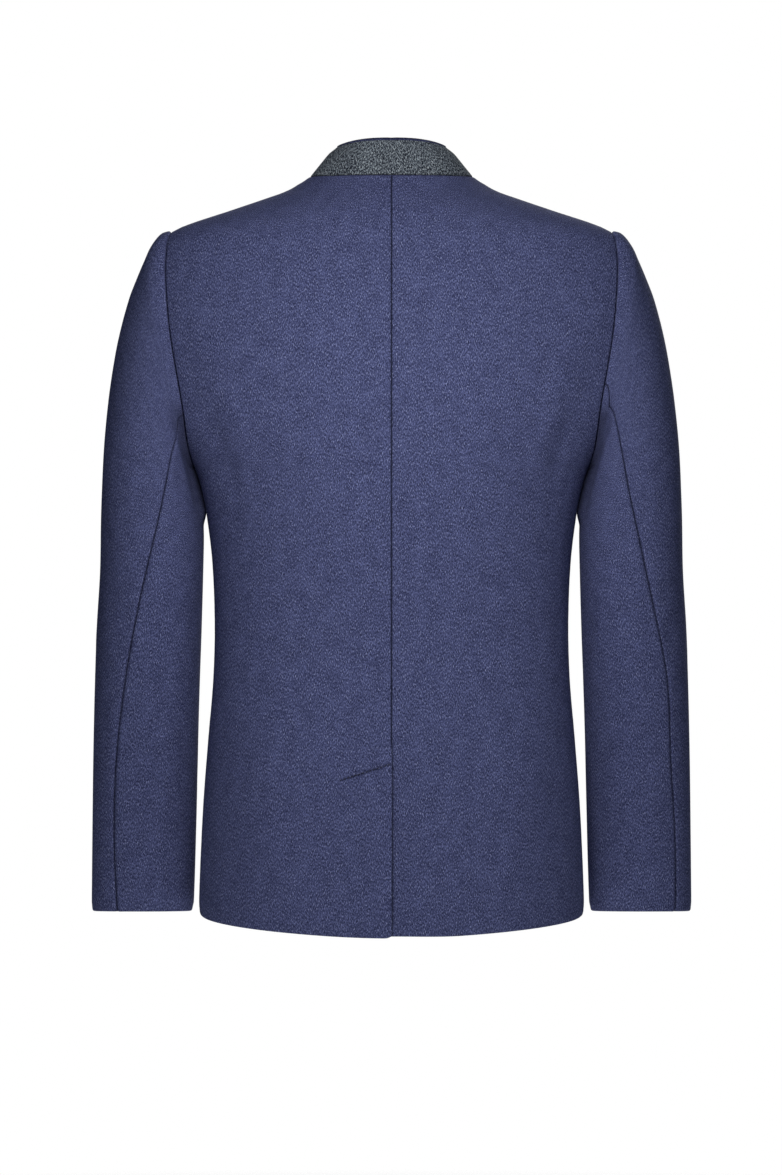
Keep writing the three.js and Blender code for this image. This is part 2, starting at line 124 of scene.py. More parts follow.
def degreesApart(angle, other):
    return np.abs((np.degrees(angle) - other + 540) % 360 - 180)


def ringRadius(angle, across, deep, squareness):
    c = (np.abs(np.cos(angle)) / across) ** squareness
    s = (np.abs(np.sin(angle)) / deep) ** squareness
    return (c + s) ** (-1 / squareness)


def bodyAt(z, column):
    return read(bodyTable, bodyColumn[column], z)


def bodyPoint(angle, z):
    rear = np.sin(angle) >= 0
    deep = np.where(rear, bodyAt(z, "back"), bodyAt(z, "front"))
    radius = ringRadius(angle, bodyAt(z, "width"), deep, body["squareness"])
    for place, height, around, tall, out in bodyFolds:
        radius = radius + out * np.exp(-(degreesApart(angle, place) / around) ** 2 - ((z - height) / tall) ** 2)
    share = ease((body["hemDropStartZ"] - z) / (body["hemDropStartZ"] - body["hemZ"]))
    drop = np.where(rear, body["backHemDrop"], body["frontHemDrop"]) * share * np.abs(np.sin(angle))
    return np.stack([radius * np.cos(angle), radius * np.sin(angle), z - drop], -1)


def unit(vectors):
    return vectors / np.maximum(np.linalg.norm(vectors, axis=-1, keepdims=True), 1e-9)


def bodyNormal(angle, z):
    round_ = bodyPoint(angle + 0.01, z) - bodyPoint(angle - 0.01, z)
    up = bodyPoint(angle, z + 0.5) - bodyPoint(angle, z - 0.5)
    return unit(np.cross(round_, up))


def angleAcross(x, z, face):
    n = body["squareness"]
    share = np.clip(np.abs(x) / bodyAt(z, "width"), 0, 1)
    return np.arctan2(bodyAt(z, face) * (1 - share ** n) ** (1 / n), x)


def turn(angle, side, face):
    signed = angle if face == "back" else -angle
    return signed if side > 0 else math.pi - signed


def outerAngle(z, face):
    armhole = angleAcross(bodyAt(z, "seam"), z, face)
    bend = np.arcsin(body["sideSeamForward"] / bodyAt(z, "width"))
    bend = bend * ease((body["underarmZ"] - z) / body["sideSeamBend"])
    side = -bend if face == "back" else bend
    return np.where(z > body["shoulderEndZ"], 0, np.where(z > body["underarmZ"], armhole, side))


# Across values of every column of every row, close together at both edges, by true length
def layColumns(place, rows, start, end, columns):
    dense = np.linspace(0, 1, panel["arcSteps"])
    across = start[:, None] + (end - start)[:, None] * dense
    points = place(across, rows[:, None] + 0 * across)
    step = np.linalg.norm(np.diff(points, axis=1), axis=2)
    arc = np.concatenate([np.zeros((len(rows), 1)), np.cumsum(step, 1)], 1)
    laid = []
    for r in range(len(rows)):
        near = np.array(cloth["edgeSteps"]) * min(1, arc[r, -1] / cloth["narrowUnder"])
        inner = np.linspace(near[-1], arc[r, -1] - near[-1], columns)
        at = np.concatenate([near[:-1], inner, (arc[r, -1] - near[:-1])[::-1]])
        laid.append(np.interp(at, arc[r], across[r]))
    return np.array(laid)


def alongColumns(points):
    step = np.linalg.norm(np.diff(points, axis=0), axis=2)
    return np.concatenate([np.zeros((1, points.shape[1])), np.cumsum(step, 0)], 0)


def alongRows(points):
    return alongColumns(points.transpose(1, 0, 2)).T


# Distance of each place of a grid from the edge of its piece
def edgeDistance(points):
    rows, columns, _ = points.shape
    ring = np.concatenate([points[0], points[1:, -1], points[-1, -2::-1], points[-2:0:-1, 0]])
    ring = np.concatenate([ring, ring[:1]])
    fine = []
    for a, b in zip(ring[:-1], ring[1:]):
        steps = max(2, int(np.linalg.norm(b - a) / cloth["edgeFine"]) + 1)
        fine.extend(mix(a, b, np.linspace(0, 1, steps, endpoint=False)[:, None]))
    tree = KDTree(len(fine))
    for k, point in enumerate(fine):
        tree.insert(point, k)
    tree.balance()
    distance = np.full((rows, columns), 99.0)  # far from every edge
    margin = len(cloth["edgeSteps"]) + 1
    for r in range(rows):
        whole = r < cloth["edgeRows"] or r > rows - cloth["edgeRows"]
        for c in range(columns):
            if whole or c < margin or c >= columns - margin:
                distance[r, c] = tree.find(points[r, c])[2]
    distance[0], distance[-1], distance[:, 0], distance[:, -1] = 0, 0, 0, 0
    return distance


# Small uneven waves beside a sewn edge
def pucker(along, distance, amount):
    wave = sum(share * np.sin(along / length + bend * np.sin(along / drift))
               for length, bend, drift, share in cloth["puckerWaves"])
    return amount * wave * np.exp(-(distance / cloth["puckerReach"]) ** 2) * ease(distance / 1.5)


# Trough along a sewn seam
def seam(distance):
    return -cloth["seamDepth"] * np.exp(-(distance / cloth["seamSpread"]) ** 2)


# How strong the painted shade is beside a seam
def paintedShade(distance):
    return np.exp(-(distance / cloth["shadeSpread"]) ** 2)


# Soft ridges and troughs: place across, place along, tilt, half width, half length, outwards
def creased(across, along, creases):
    out = np.zeros(across.shape)
    for x, z, tilt, wide, long_, rise in creases:
        c, s = math.cos(math.radians(tilt)), math.sin(math.radians(tilt))
        p = (across - x) * c + (along - z) * s
        q = -(across - x) * s + (along - z) * c
        bow = q + cloth["creaseBow"] * long_ * ((p / long_) ** 2)
        out += rise * np.exp(-(bow / wide) ** 2 - (p / long_) ** 2)
    return out


# Outer and inner face of a cloth wall with rounded edges
def wall(points, normals, thick, distance):
    half = thick / 2
    near = np.minimum(distance, half)
    dip = cloth["roundShare"] * (half - np.sqrt(np.maximum(0, half ** 2 - (half - near) ** 2)))
    return points - normals * dip[..., None], points - normals * (thick - dip)[..., None]


def placed(name, mesh):
    mesh.polygons.foreach_set("use_smooth", np.ones(len(mesh.polygons), bool))
    mesh.update()
    made = bpy.data.objects.new(name, mesh)
    bpy.context.scene.collection.objects.link(made)
    return made


def gridFaces(rows, columns):
    r, c = np.meshgrid(np.arange(rows - 1), np.arange(columns - 1), indexing="ij")
    outer = r * columns + c
    shift = rows * columns
    up = np.stack([outer, outer + 1, outer + columns + 1, outer + columns], -1).reshape(-1, 4)
    faces = [up, up[:, ::-1] + shift]
    edge = np.concatenate([
        np.arange(columns), np.arange(2, rows + 1) * columns - 1,
        (rows - 1) * columns + np.arange(columns - 2, -1, -1), np.arange(rows - 2, 0, -1) * columns,
    ])
    after = np.roll(edge, -1)
    faces.append(np.stack([after, edge, edge + shift, after + shift], -1))
    return np.concatenate(faces)


# A mesh object from a wall of outer, inner, map across, map along and painted shade
def makePiece(name, made):
    outer, inner, across, along, shadeAmount = made
    points = np.concatenate([outer.reshape(-1, 3), inner.reshape(-1, 3)])
    faces = gridFaces(*outer.shape[:2])
    a, b, c = (points[faces[:, k]] for k in range(3))
    if np.sum(a * np.cross(b, c)) < 0:
        faces = faces[:, ::-1]
    maps = np.tile(np.stack([across, along], -1).reshape(-1, 2), (2, 1))
    shadeValues = np.tile(np.clip(shadeAmount, 0, 1).ravel(), 2)
    mesh = bpy.data.meshes.new(name)
    mesh.from_pydata((points * millimetre).tolist(), [], faces.tolist())
    layer = mesh.uv_layers.new(name="Cloth")
    index = np.empty(len(mesh.loops), int)
    mesh.loops.foreach_get("vertex_index", index)
    layer.data.foreach_set("uv", (maps[index] * millimetre).astype(np.float32).ravel())
    # Painted shade at seams, edges and the underarm, which the cloth material darkens by
    mesh.attributes.new("paintedShade", "FLOAT", "POINT").data.foreach_set("value", shadeValues.astype(np.float32))
    return placed(name, mesh)


# Gives a cloth piece its finish, hangs it from the root and hides the part it stands for
def dress(piece, facts):
    piece.data.materials.append(finishes[facts["slot"]])
    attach(piece, "root")
    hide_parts(facts["node"])


# A value inside a material that can be added to, taken away and multiplied
class Wire:
    def __init__(self, graph, socket):
        self.graph, self.socket = graph, socket

    def __add__(self, other):
        return self.graph.math("ADD", self, other)

    def __sub__(self, other):
        return self.graph.math("SUBTRACT", self, other)

    def __rsub__(self, other):
        return self.graph.math("SUBTRACT", other, self)

    def __mul__(self, other):
        return self.graph.math("MULTIPLY", self, other)

    __radd__, __rmul__ = __add__, __mul__


class Graph:
    def __init__(self, name):
        self.material = bpy.data.materials.new(name)
        self.material.use_nodes = True
        self.tree = self.material.node_tree
        self.tree.nodes.clear()

    def node(self, kind, settings, values, output=0):
        made = self.tree.nodes.new(kind)
        for key, value in settings.items():
            setattr(made, key, value)
        for key, value in values.items():
            if isinstance(value, Wire):
                self.tree.links.new(value.socket, made.inputs[key])
            else:
                made.inputs[key].default_value = value
        return None if output is None else Wire(self, made.outputs[output])

    def math(self, operation, first, second):
        return self.node("ShaderNodeMath", {"operation": operation}, {0: first, 1: second})

    def ranged(self, value, low, high):
        return self.node("ShaderNodeMapRange", {"clamp": True},
                         {"Value": value, "From Min": low, "From Max": high, "To Min": 0.0, "To Max": 1.0})

    def blend(self, share, first, second):
        return self.node("ShaderNodeMix", {"data_type": "RGBA"}, {0: share, 6: first, 7: second}, 2)

    def finish(self, values, bump):
        normal = self.node("ShaderNodeBump", {}, bump)
        shader = self.node("ShaderNodeBsdfPrincipled", {}, {**values, "Normal": normal})
        self.node("ShaderNodeOutputMaterial", {}, {"Surface": shader}, None)
        return self.material


# Scene colour of a colour given in 0 to 255 steps of a picture
def linear(red, green, blue):
    shares = [value / 255 for value in (red, green, blue)]
    return tuple(v / 12.92 if v <= 0.04045 else ((v + 0.055) / 1.055) ** 2.4 for v in shares) + (1.0,)


fibre = {
    "share": 0.36, "grainShare": 0.28, "grainSlant": 12, "cloudSlant": 70, "turn": 3, "roughness": 0.6,
    "grainWide": 0.6, "grainLong": 0.7, "cloudWide": 16, "cloudLong": 24, "sparkRange": 0.06, "shadeShare": 0.8,
}


# Milled wool: two slanting sets of short fibres, pale and dark flecks, and a soft nap
def loden(name, look):
    graph = Graph(name)
    place = graph.node("ShaderNodeTexCoord", {}, {}, "UV")

    def fibres(slant, wide, long_, detail):
        turned = graph.node("ShaderNodeMapping", {}, {
            "Vector": place, "Rotation": (0, 0, math.radians(slant)), "Scale": (1 / wide, 1 / long_, 1)})
        return graph.node("ShaderNodeTexNoise", {"noise_dimensions": "2D"}, {
            "Vector": turned, "Scale": 1.0, "Detail": detail, "Roughness": fibre["roughness"]})

    wide, long_ = look["fleckWide"] * millimetre, look["fleckLong"] * millimetre
    leftward = fibres(look["slant"], wide, long_, 3)
    rightward = fibres(-look["slant"] - fibre["turn"], wide, long_, 3)
    grain = fibres(fibre["grainSlant"], wide * fibre["grainWide"], wide * fibre["grainLong"], 1)
    cloud = fibres(fibre["cloudSlant"], wide * fibre["cloudWide"], wide * fibre["cloudLong"], 2)
    pattern = (leftward + rightward) * fibre["share"] + grain * fibre["grainShare"]
    pattern = pattern + (cloud - 0.5) * look["cloud"]
    pale = graph.ranged(pattern, look["paleFrom"], look["paleTo"])
    dark = graph.ranged(1 - pattern, look["darkFrom"], look["darkTo"])
    colour = graph.blend(pale, linear(*look["mid"]), linear(*look["pale"]))
    colour = graph.blend(dark, colour, linear(*look["dark"]))
    spark = graph.ranged(leftward * rightward, look["sparkFrom"], look["sparkFrom"] + fibre["sparkRange"])
    colour = graph.blend(spark, colour, linear(*look["spark"]))
    # Painted shade: the colour darkens towards the shade colour where a piece marks it
    shadeHere = graph.node("ShaderNodeAttribute", {"attribute_name": "paintedShade"}, {}, 2)
    colour = graph.blend(shadeHere * fibre["shadeShare"], colour, linear(*look["shade"]))
    return graph.finish({
        "Base Color": colour,
        "Roughness": 0.95,
        "Specular IOR Level": 0.2,
        "Sheen Weight": look["sheen"],
        "Sheen Roughness": 0.5,
        "Sheen Tint": linear(*look["sheenTint"]),
    }, {"Strength": 0.7, "Distance": look["napAndSeamShade"] * millimetre, "Height": pattern})


looks = {
    "loden_navy": {
        "mid": (70, 75, 113), "pale": (118, 126, 176), "dark": (28, 31, 60), "spark": (162, 168, 204),
        "shade": (18, 20, 38), "slant": 48, "fleckWide": 0.8, "fleckLong": 2.2, "cloud": 0.06,
        "paleFrom": 0.50, "paleTo": 0.60, "darkFrom": 0.50, "darkTo": 0.60, "sparkFrom": 0.36,
        "sheen": 0.05, "sheenTint": (140, 150, 215), "napAndSeamShade": 0.35,
    },
    "loden_charcoal": {
        "mid": (68, 74, 86), "pale": (148, 158, 166), "dark": (20, 24, 33), "spark": (188, 196, 200),
        "shade": (10, 12, 18), "slant": 45, "fleckWide": 1.25, "fleckLong": 2.2, "cloud": 0.06,
        "paleFrom": 0.495, "paleTo": 0.565, "darkFrom": 0.475, "darkTo": 0.56, "sparkFrom": 0.34,
        "sheen": 0.05, "sheenTint": (160, 170, 180), "napAndSeamShade": 0.4,
    },
}
finishes = {name: loden(name, look) for name, look in looks.items()}

print("stage: materials")

# Body panels
panel = {
    "columns": 58,
    "arcSteps": 161,
    "hemSteps": [3.5, 2.4, 1.6, 1.0, 0.6, 0.3, 0.1, 0],
    "neckSteps": [0, 0.08, 0.2, 0.4, 0.7, 1.1],
    "shoulderFromZ": -1.6, "shoulderRows": 26, "shoulderCrowding": 1.25, "armholeRows": 64, "skirtRows": 112,
    "hemRollTall": 15,
    "hemOpen": 56,  # half width at the vent that has no turned-up layer
    "creaseEdge": 14,  # creases die out this near an edge
    "backPucker": 0.16, "frontPucker": 0.14,
}


def bodyRows():
    down = np.arange(panel["shoulderRows"]) / panel["shoulderRows"]
    shoulder = mix(panel["shoulderFromZ"], body["shoulderEndZ"], down ** panel["shoulderCrowding"])
    down = np.arange(panel["armholeRows"]) / panel["armholeRows"]
    armhole = mix(body["shoulderEndZ"], body["underarmZ"], (1 - np.cos(np.pi * down)) / 2)
    skirt = np.linspace(body["underarmZ"], body["hemZ"] + panel["hemSteps"][0], panel["skirtRows"])[:-1]
    hem = body["hemZ"] + np.array(panel["hemSteps"])
    return np.concatenate([-np.array(panel["neckSteps"]), shoulder, armhole, skirt, hem])


def frontRows():
    rows = bodyRows()
    top = mix(body["neckPointZ"], body["neckJoinZ"], rows / body["neckJoinZ"])
    return np.where(rows > body["neckJoinZ"], top, rows)


# How far across the front edge lies: neckline, its rounded corner, then the lap
def frontEdge(z):
    share = np.clip(z / body["neckBottomZ"], 0, 1)
    neckline = body["neckHalfWidth"] * (1 - share ** body["necklineFullness"]) ** body["necklineEnd"]
    slantShare = body["neckSlantZ"] / body["neckBottomZ"]
    begin = body["neckHalfWidth"] * (1 - slantShare ** body["necklineFullness"]) ** body["necklineEnd"]
    slant = np.clip((body["neckSlantZ"] - z) / (body["neckSlantZ"] - body["neckBottomZ"]), 0, 1)
    corner = begin - (begin + body["frontLap"]) * np.sin(slant * math.pi / 2)
    return np.where(z > body["neckSlantZ"], neckline, corner)


# Across from the centre (towards the wearer's left), height, tilt, half width, half length, outwards
backCreases = [
    (118, -452, 18, 10, 62, -1.3), (126, -478, 12, 9, 54, 1.1), (92, -500, 8, 11, 70, -1.0),
    (-112, -446, -16, 11, 66, -1.4), (-124, -470, -10, 9, 50, 1.2), (-84, -497, -6, 12, 64, -0.9),
    (40, -470, 3, 14, 44, -0.8), (-44, -462, -4, 13, 40, -0.8),
    (176, -250, 68, 10, 60, -2.0), (160, -222, 72, 11, 66, 1.5),
    (-176, -246, -68, 10, 58, -2.0), (-158, -226, -74, 11, 60, 1.5),
    (70, -150, 84, 26, 70, 1.3), (-74, -146, -82, 26, 70, 1.3),
    (108, -640, 84, 24, 110, 1.8), (-112, -636, -83, 24, 110, 1.8),
    (24, -330, 88, 16, 120, 0.8), (-26, -352, 89, 15, 110, 0.8),
    (62, -66, 14, 12, 60, 0.8), (-66, -64, -14, 12, 60, 0.8),
]
frontCreases = [
    (104, -455, 16, 11, 64, -1.2), (112, -482, 10, 10, 52, 1.0), (-100, -450, -14, 11, 60, -1.3),
    (-114, -476, -9, 10, 50, 1.1), (44, -430, 22, 9, 40, -0.8), (-46, -436, -20, 9, 38, -0.8),
    (150, -246, 70, 10, 60, -1.9), (134, -216, 74, 11, 60, 1.4),
    (-150, -242, -70, 10, 58, -1.9), (-134, -220, -74, 11, 58, 1.4),
    (84, -150, 60, 20, 80, 1.2), (-86, -146, -60, 20, 80, 1.2),
    (72, -640, 85, 22, 110, 1.6), (-80, -634, -84, 22, 110, 1.6),
    (30, -236, 12, 9, 34, -0.7), (28, -330, -10, 9, 34, 0.6), (-34, -286, -8, 9, 36, -0.7),
]

vent = {
    "underlap": 48, "slant": 14, "root": 8, "shorter": 2, "sunk": 0.2, "rows": 60, "columns": 18,
    "plateau": 1.4, "groove": 1.0, "grooveHalf": 1.4, "swell": 0.8, "hemLift": 1.9, "overhang": 1.1,
    "shadeShare": 0.42, "shadeSpread": 1.5, "shadeBelow": 0.4, "lineLong": 52,
    "rowSteps": [0, 0.35, 0.8, 1.3, 1.9, 2.6, 3.5, 4.7, 6.3, 8.5],  # mesh rows beside the stitched line
    "rowShear": 45, "shearFrom": 200, "shearFade": 130, "fadeAcross": 8,
    "plateauRise": 4, "plateauFade": 14, "plateauEndZ": -690, "swellBelow": 4.4, "swellHalf": 2.8,
    "edgeShade": {1: 1.2, -1: 2.2},  # wearer's left and right back below the line
    "liftTall": 60, "liftWide": 70, "cornerRound": 2.2, "cornerWide": 7, "cornerTall": 12, "overhangWide": 6,
}


# Height of the slanting stitched line at a distance from the centre
def ventLine(x):
    return body["ventTopZ"] - vent["slant"] * x / vent["underlap"]


# Painted shade along the sunk sewing of the slanting line
def ventShade(x, z):
    below = (ventLine(x) - z + vent["shadeBelow"]) / vent["shadeSpread"]
    return vent["shadeShare"] * paintedShade(below) * ease((x + 1) / 2) * ease((vent["lineLong"] - x) / 2)


# The left back stands proud over the underlap, under a sewn groove
def ventRelief(x, z):
    below = ventLine(x) - z
    inside = ease((vent["underlap"] + vent["fadeAcross"] - x) / vent["plateauFade"])
    raised = vent["plateau"] * ease((below + 1) / vent["plateauRise"]) * inside * ease((z - vent["plateauEndZ"]) / 60)
    along = ease((x + 2) / 3) * ease((vent["lineLong"] - x) / 3)
    groove = -vent["groove"] * np.exp(-(below / vent["grooveHalf"]) ** 2) * along
    swell = vent["swell"] * np.exp(-((below - vent["swellBelow"]) / vent["swellHalf"]) ** 2) * along
    return raised + groove + swell


# Wall thickness, with the turned-up hem inside; drop is the distance up from the hem
def hemThick(drop, share=1):
    return cloth["thick"] + cloth["hemExtra"] * ease((cloth["hemTurn"] - drop) / cloth["hemBlend"] + 0.5) * share


# No turned-up layer at the vent
def hemShare(points):
    return ease((np.abs(points[..., 0]) - panel["hemOpen"]) / 10)


# Rows crowded where the slanting stitched line of the vent crosses them
def ventRows():
    rows = bodyRows()
    near = np.array(vent["rowSteps"])
    fine = body["ventTopZ"] + np.concatenate([-near[::-1], near[1:]])
    return np.concatenate([rows[rows > fine.max() + 1], fine[::-1], rows[rows < fine.min() - 1]])


def hemRolled(drop):
    return cloth["hemRoll"] * np.clip(1 - drop / panel["hemRollTall"], 0, 1) ** 2


# Trough and painted shade of the side seam, and of the armhole seam, which has less of both
def outerSeam(across, rows):
    toEdge = across[:, -1:] - across
    share = mix(1, body["armholeSeam"], ease((rows - body["underarmZ"]) / body["armholeSeamRamp"] + 0.5))[:, None]
    return share * seam(toEdge), share * paintedShade(toEdge)


# Angle and height of every place of a panel that runs from start to its side seam and armhole
def panelGrid(side, face, rows, start):
    laid = layColumns(lambda angle, z: bodyPoint(turn(angle, side, face), z), rows, start,
                      outerAngle(rows, face), panel["columns"])
    return turn(laid, side, face), rows[:, None] + 0 * laid


# Distances over a panel: across, down, down from the underarm, up from the hem, and from its edge
def measured(points, rows):
    across, along = alongRows(points), alongColumns(points)
    flat = along - along[np.argmin(np.abs(rows - body["underarmZ"]))][None]
    return across, along, flat, along[-1:] - along, edgeDistance(points)


def backPanel(side):
    rows = ventRows() if side > 0 else bodyRows()
    angle, z = panelGrid(side, "back", rows, np.full(len(rows), math.pi / 2))
    if side > 0:
        x = bodyPoint(angle, z)[..., 0]
        held = np.minimum(x, vent["underlap"] + vent["fadeAcross"])
        held = held * ease((vent["shearFrom"] - x) / vent["shearFade"])
        z = z - vent["slant"] * held / vent["underlap"] * np.exp(-((z - body["ventTopZ"]) / vent["rowShear"]) ** 2)
    points, normals = bodyPoint(angle, z), bodyNormal(angle, z)
    across, along, flat, drop, distance = measured(points, rows)
    open_ = ease((body["ventTopZ"] + body["ventDip"] - z) / body["ventDip"])
    relief = creased(side * across, z, backCreases) * ease(distance / panel["creaseEdge"])
    relief += pucker(along, distance, panel["backPucker"])
    trough, napAndSeamShade = outerSeam(across, rows)
    relief += seam(across) * (1 - open_) + trough - hemRolled(drop)
    # Painted shade along the centre seam, wider along the open vent edge, and along the side seam and top edge
    centreShade = paintedShade(across / mix(1, vent["edgeShade"][side], open_))
    shadeAmount = np.maximum.reduce([centreShade, napAndSeamShade, paintedShade(along)])
    if side < 0:
        relief = relief - cloth["lapDepth"] * open_ * (1 - ease(across / body["ventBlend"]))
        lift = ease(1 - drop / vent["liftTall"]) * ease(1 - across / vent["liftWide"])
        points[..., 2] += vent["hemLift"] * lift * open_
    else:
        relief = relief + ventRelief(across, z)
        shadeAmount = np.maximum(shadeAmount, ventShade(across, z))
        corner = ease(1 - across / vent["cornerWide"]) ** 2 * ease(1 - drop / vent["cornerTall"])
        points[..., 2] += vent["cornerRound"] * corner
        points[..., 0] -= vent["overhang"] * open_ * ease(1 - across / vent["overhangWide"])
    points = points + normals * relief[..., None]
    outer, inner = wall(points, normals, hemThick(drop, hemShare(points)), distance)
    return {"wall": (outer, inner, side * across, -flat, shadeAmount), "points": points}


def frontPanel(side):
    rows = frontRows()
    angle, z = panelGrid(side, "front", rows, angleAcross(frontEdge(rows), rows, "front"))
    points, normals = bodyPoint(angle, z), bodyNormal(angle, z)
    x = points[..., 0]
    across, along, flat, drop, distance = measured(points, rows)
    centre = side * (across + frontEdge(rows)[:, None])
    relief = creased(centre, z, frontCreases) * ease(distance / panel["creaseEdge"])
    relief += pucker(along, distance, panel["frontPucker"])
    trough, napAndSeamShade = outerSeam(across, rows)
    relief += trough - hemRolled(drop)
    if side < 0:
        span = body["lapBlendTo"] - body["lapBlendFrom"]
        relief = relief - cloth["lapDepth"] * (1 - ease((-x - body["lapBlendFrom"]) / span))
    points = points + normals * relief[..., None]
    outer, inner = wall(points, normals, hemThick(drop, hemShare(points)), distance)
    # Painted shade along the side seam and the top edge
    shadeAmount = np.maximum(napAndSeamShade, paintedShade(along) * (rows[:, None] > body["underarmZ"]))
    return {"wall": (outer, inner, centre, -flat, shadeAmount), "points": points}


def underlapWall():
    share = np.linspace(0, 1, vent["rows"])[:, None]
    across = np.linspace(-vent["root"], vent["underlap"], vent["columns"])[None, :] + 0 * share
    top = body["ventTopZ"] - vent["slant"] * np.maximum(0, across) / vent["underlap"]
    z = mix(top, body["hemZ"] + vent["shorter"], share)
    angle = math.pi / 2 - np.arcsin(across / bodyAt(z, "back"))
    normals = bodyNormal(angle, z)
    points = bodyPoint(angle, z) - normals * (cloth["lapDepth"] + vent["sunk"])
    thick = cloth["thick"] - 2 * vent["sunk"] + 0 * z
    outer, inner = wall(points, normals, thick, edgeDistance(points))
    return outer, inner, -across, z - 2 * body["underarmZ"], 0 * z


bodyPieces = {
    "ventUnderlap": {"node": "vent_underlap", "slot": "loden_navy", "flat": (0.057, 0.155), "area": 0.0084},
    "backLeft": {"node": "back_left", "slot": "loden_navy", "flat": (0.29, 0.75), "area": 0.178},
    "backRight": {"node": "back_right", "slot": "loden_navy", "flat": (0.29, 0.75), "area": 0.178},
    "frontLeft": {"node": "front_left", "slot": "loden_navy", "flat": (0.31, 0.75), "area": 0.18},
    "frontRight": {"node": "front_right", "slot": "loden_navy", "flat": (0.31, 0.75), "area": 0.18},
}
panels = {
    "backLeft": backPanel(1), "backRight": backPanel(-1), "frontLeft": frontPanel(1), "frontRight": frontPanel(-1),
    "ventUnderlap": {"wall": underlapWall()},
}
for name, facts in bodyPieces.items():
    dress(makePiece(name, panels[name]["wall"]), facts)

print("stage: body panels")

# Sleeves
# Length down, outer edge across and height, inner edge across and height, middle and half depth
sleeveTable = np.array([
    (0, 211.4, -53, 187.8, -281, -3, 74), (10, 220.8, -55.4, 188.8, -282, -3, 74.5),
    (25, 231, -67, 189.4, -283, -3, 75), (39, 237, -79.5, 189.6, -284, -3, 75),
    (60, 245, -98.5, 189.6, -286, -3, 75), (80, 252.3, -118, 189.3, -288.5, -3, 75),
    (120, 262, -156, 188, -294, -3, 75), (160, 268.5, -195, 186, -301, -3.5, 74.5),
    (200, 273, -234, 183.6, -311, -4, 74), (240, 276.5, -274, 181.2, -325, -5, 73),
    (280, 278.6, -314, 180.2, -342, -6.5, 71.5), (330, 280.4, -364, 180.6, -371, -9, 69),
    (372, 282.2, -406, 181.6, -408, -12.5, 65.5), (448, 285.2, -482, 184.2, -483, -20, 59),
    (525, 287.2, -559, 186.8, -559, -30, 52.5), (600, 288.4, -634, 189.4, -634, -41, 47),
    (672, 289.4, -706, 191.4, -706, -52, 43.5),
], float)
hindSeamTable = np.array([
    (0, 190, 196.1), (10, 193, 198.9), (25, 197.5, 201.7), (39, 199.8, 204), (60, 202.4, 207.8), (80, 203.8, 211.4),
    (120, 207, 215.3), (160, 210, 218.5), (200, 213, 222), (240, 217.2, 226.3),
    (280, 222.5, 232), (330, 231.5, 240.5), (372, 240.5, 249), (448, 255, 264.5),
    (525, 264.5, 268.5), (600, 267, 273), (672, 264.5, 274),
], float)
# Length down, angle round from the outer edge, half length along, half spread round, outwards
sleeveFolds = [
    (345, 300, 34, 60, -3.5), (400, 285, 26, 50, 2.5), (380, 95, 60, 40, 3),
    (560, 140, 120, 26, -3), (215, 50, 70, 30, 2),
]
sleeve = {
    "squareness": 2.2, "length": 672, "steps": 32, "hind": {1: 11, -1: 9.5}, "fore": 22, "foreAngle": 245,
    "armholeShape": 90, "topColumns": 62, "underColumns": 38, "rings": 150, "crowding": 1.15,
    "headRise": 1.3, "headSpread": 11, "headReach": 1.15, "headStart": 2.2, "headEnd": 20,
    "hindFrom": {1: 60, -1: 0}, "turnedBy": 150, "hindTurnedBy": {1: 110, -1: 36}, "nearHind": 3,
    "armholeSeam": 0.4, "foreSeam": 0.6, "hindDepth": 1.5, "ridge": 0.6, "ridgeAt": 4.5, "ridgeHalf": 2.2,
    "creaseFrom": 120, "creaseEdge": 10, "pucker": 0.13, "hemRoll": 0.7, "hemRollTall": 12,
    "creases": {  # round the ring in degrees, length down, tilt, half width, half length, outwards
        1: [
            (104, 300, 62, 7, 60, -1.3), (88, 352, 34, 10, 26, 1.2), (76, 392, 22, 9, 24, -1.5),
            (64, 430, 30, 9, 30, 1.1), (120, 474, 60, 9, 60, -1.2), (60, 560, 84, 12, 90, 1.3),
            (100, 610, 86, 9, 80, -1.1), (140, 380, -20, 12, 22, -1.6), (20, 200, 80, 16, 90, 1.0),
            (322, 330, 14, 12, 30, -1.7), (306, 374, -10, 12, 26, -1.9), (312, 410, 12, 12, 30, 1.5),
            (284, 350, 20, 14, 30, 1.3), (230, 420, 40, 14, 40, -1.2), (260, 560, 84, 14, 90, 1.2),
            (180, 600, 88, 14, 90, 1.2),
        ],
        -1: [
            (98, 312, 58, 8, 54, -1.2), (84, 366, 30, 10, 28, 1.3), (70, 408, 26, 9, 26, -1.4),
            (58, 446, 34, 9, 30, 1.0), (116, 490, 64, 9, 58, -1.2), (66, 572, 86, 12, 90, 1.2),
            (96, 628, 84, 9, 70, -1.0), (136, 394, -24, 12, 24, -1.5), (24, 214, 82, 16, 84, 1.0),
            (318, 342, 12, 12, 32, -1.8), (304, 386, -12, 12, 26, -1.7), (314, 424, 10, 12, 30, 1.4),
            (282, 362, 22, 14, 30, 1.2), (234, 434, 42, 14, 38, -1.2), (256, 572, 86, 14, 90, 1.1),
            (184, 612, 88, 14, 90, 1.1),
        ],
    },
}

# Where the inside of a sleeve rests on the body, and where it tucks in, with painted shade beside it
underarm = {
    "touch": 0.1, "above": 2, "ramp": 1.5, "endZ": -336, "fade": 16, "deep": 26, "widest": 222, "reach": 20,
    "tuck": 2.4, "tuckAt": 8, "tuckHalf": 4.5, "tuckFrom": 4, "shade": 0.85, "shadeReach": 10.5,
    "shadeFromZ": -208, "shadeRamp": 30, "shadeEndZ": -350, "shadeFade": 40, "shadeFromY": -4, "shadeWide": 14,
}


def sleeveRing(down):
    outX, outZ, inX, inZ, midY, deep = (read(sleeveTable, k, down) for k in range(1, 7))
    outer, inner = np.stack([outX, midY, outZ], -1), np.stack([inX, midY, inZ], -1)
    across = outer - inner
    length = np.linalg.norm(across, axis=-1)
    return {"middle": (outer + inner) / 2, "half": length / 2, "way": across / length[..., None], "deep": deep}


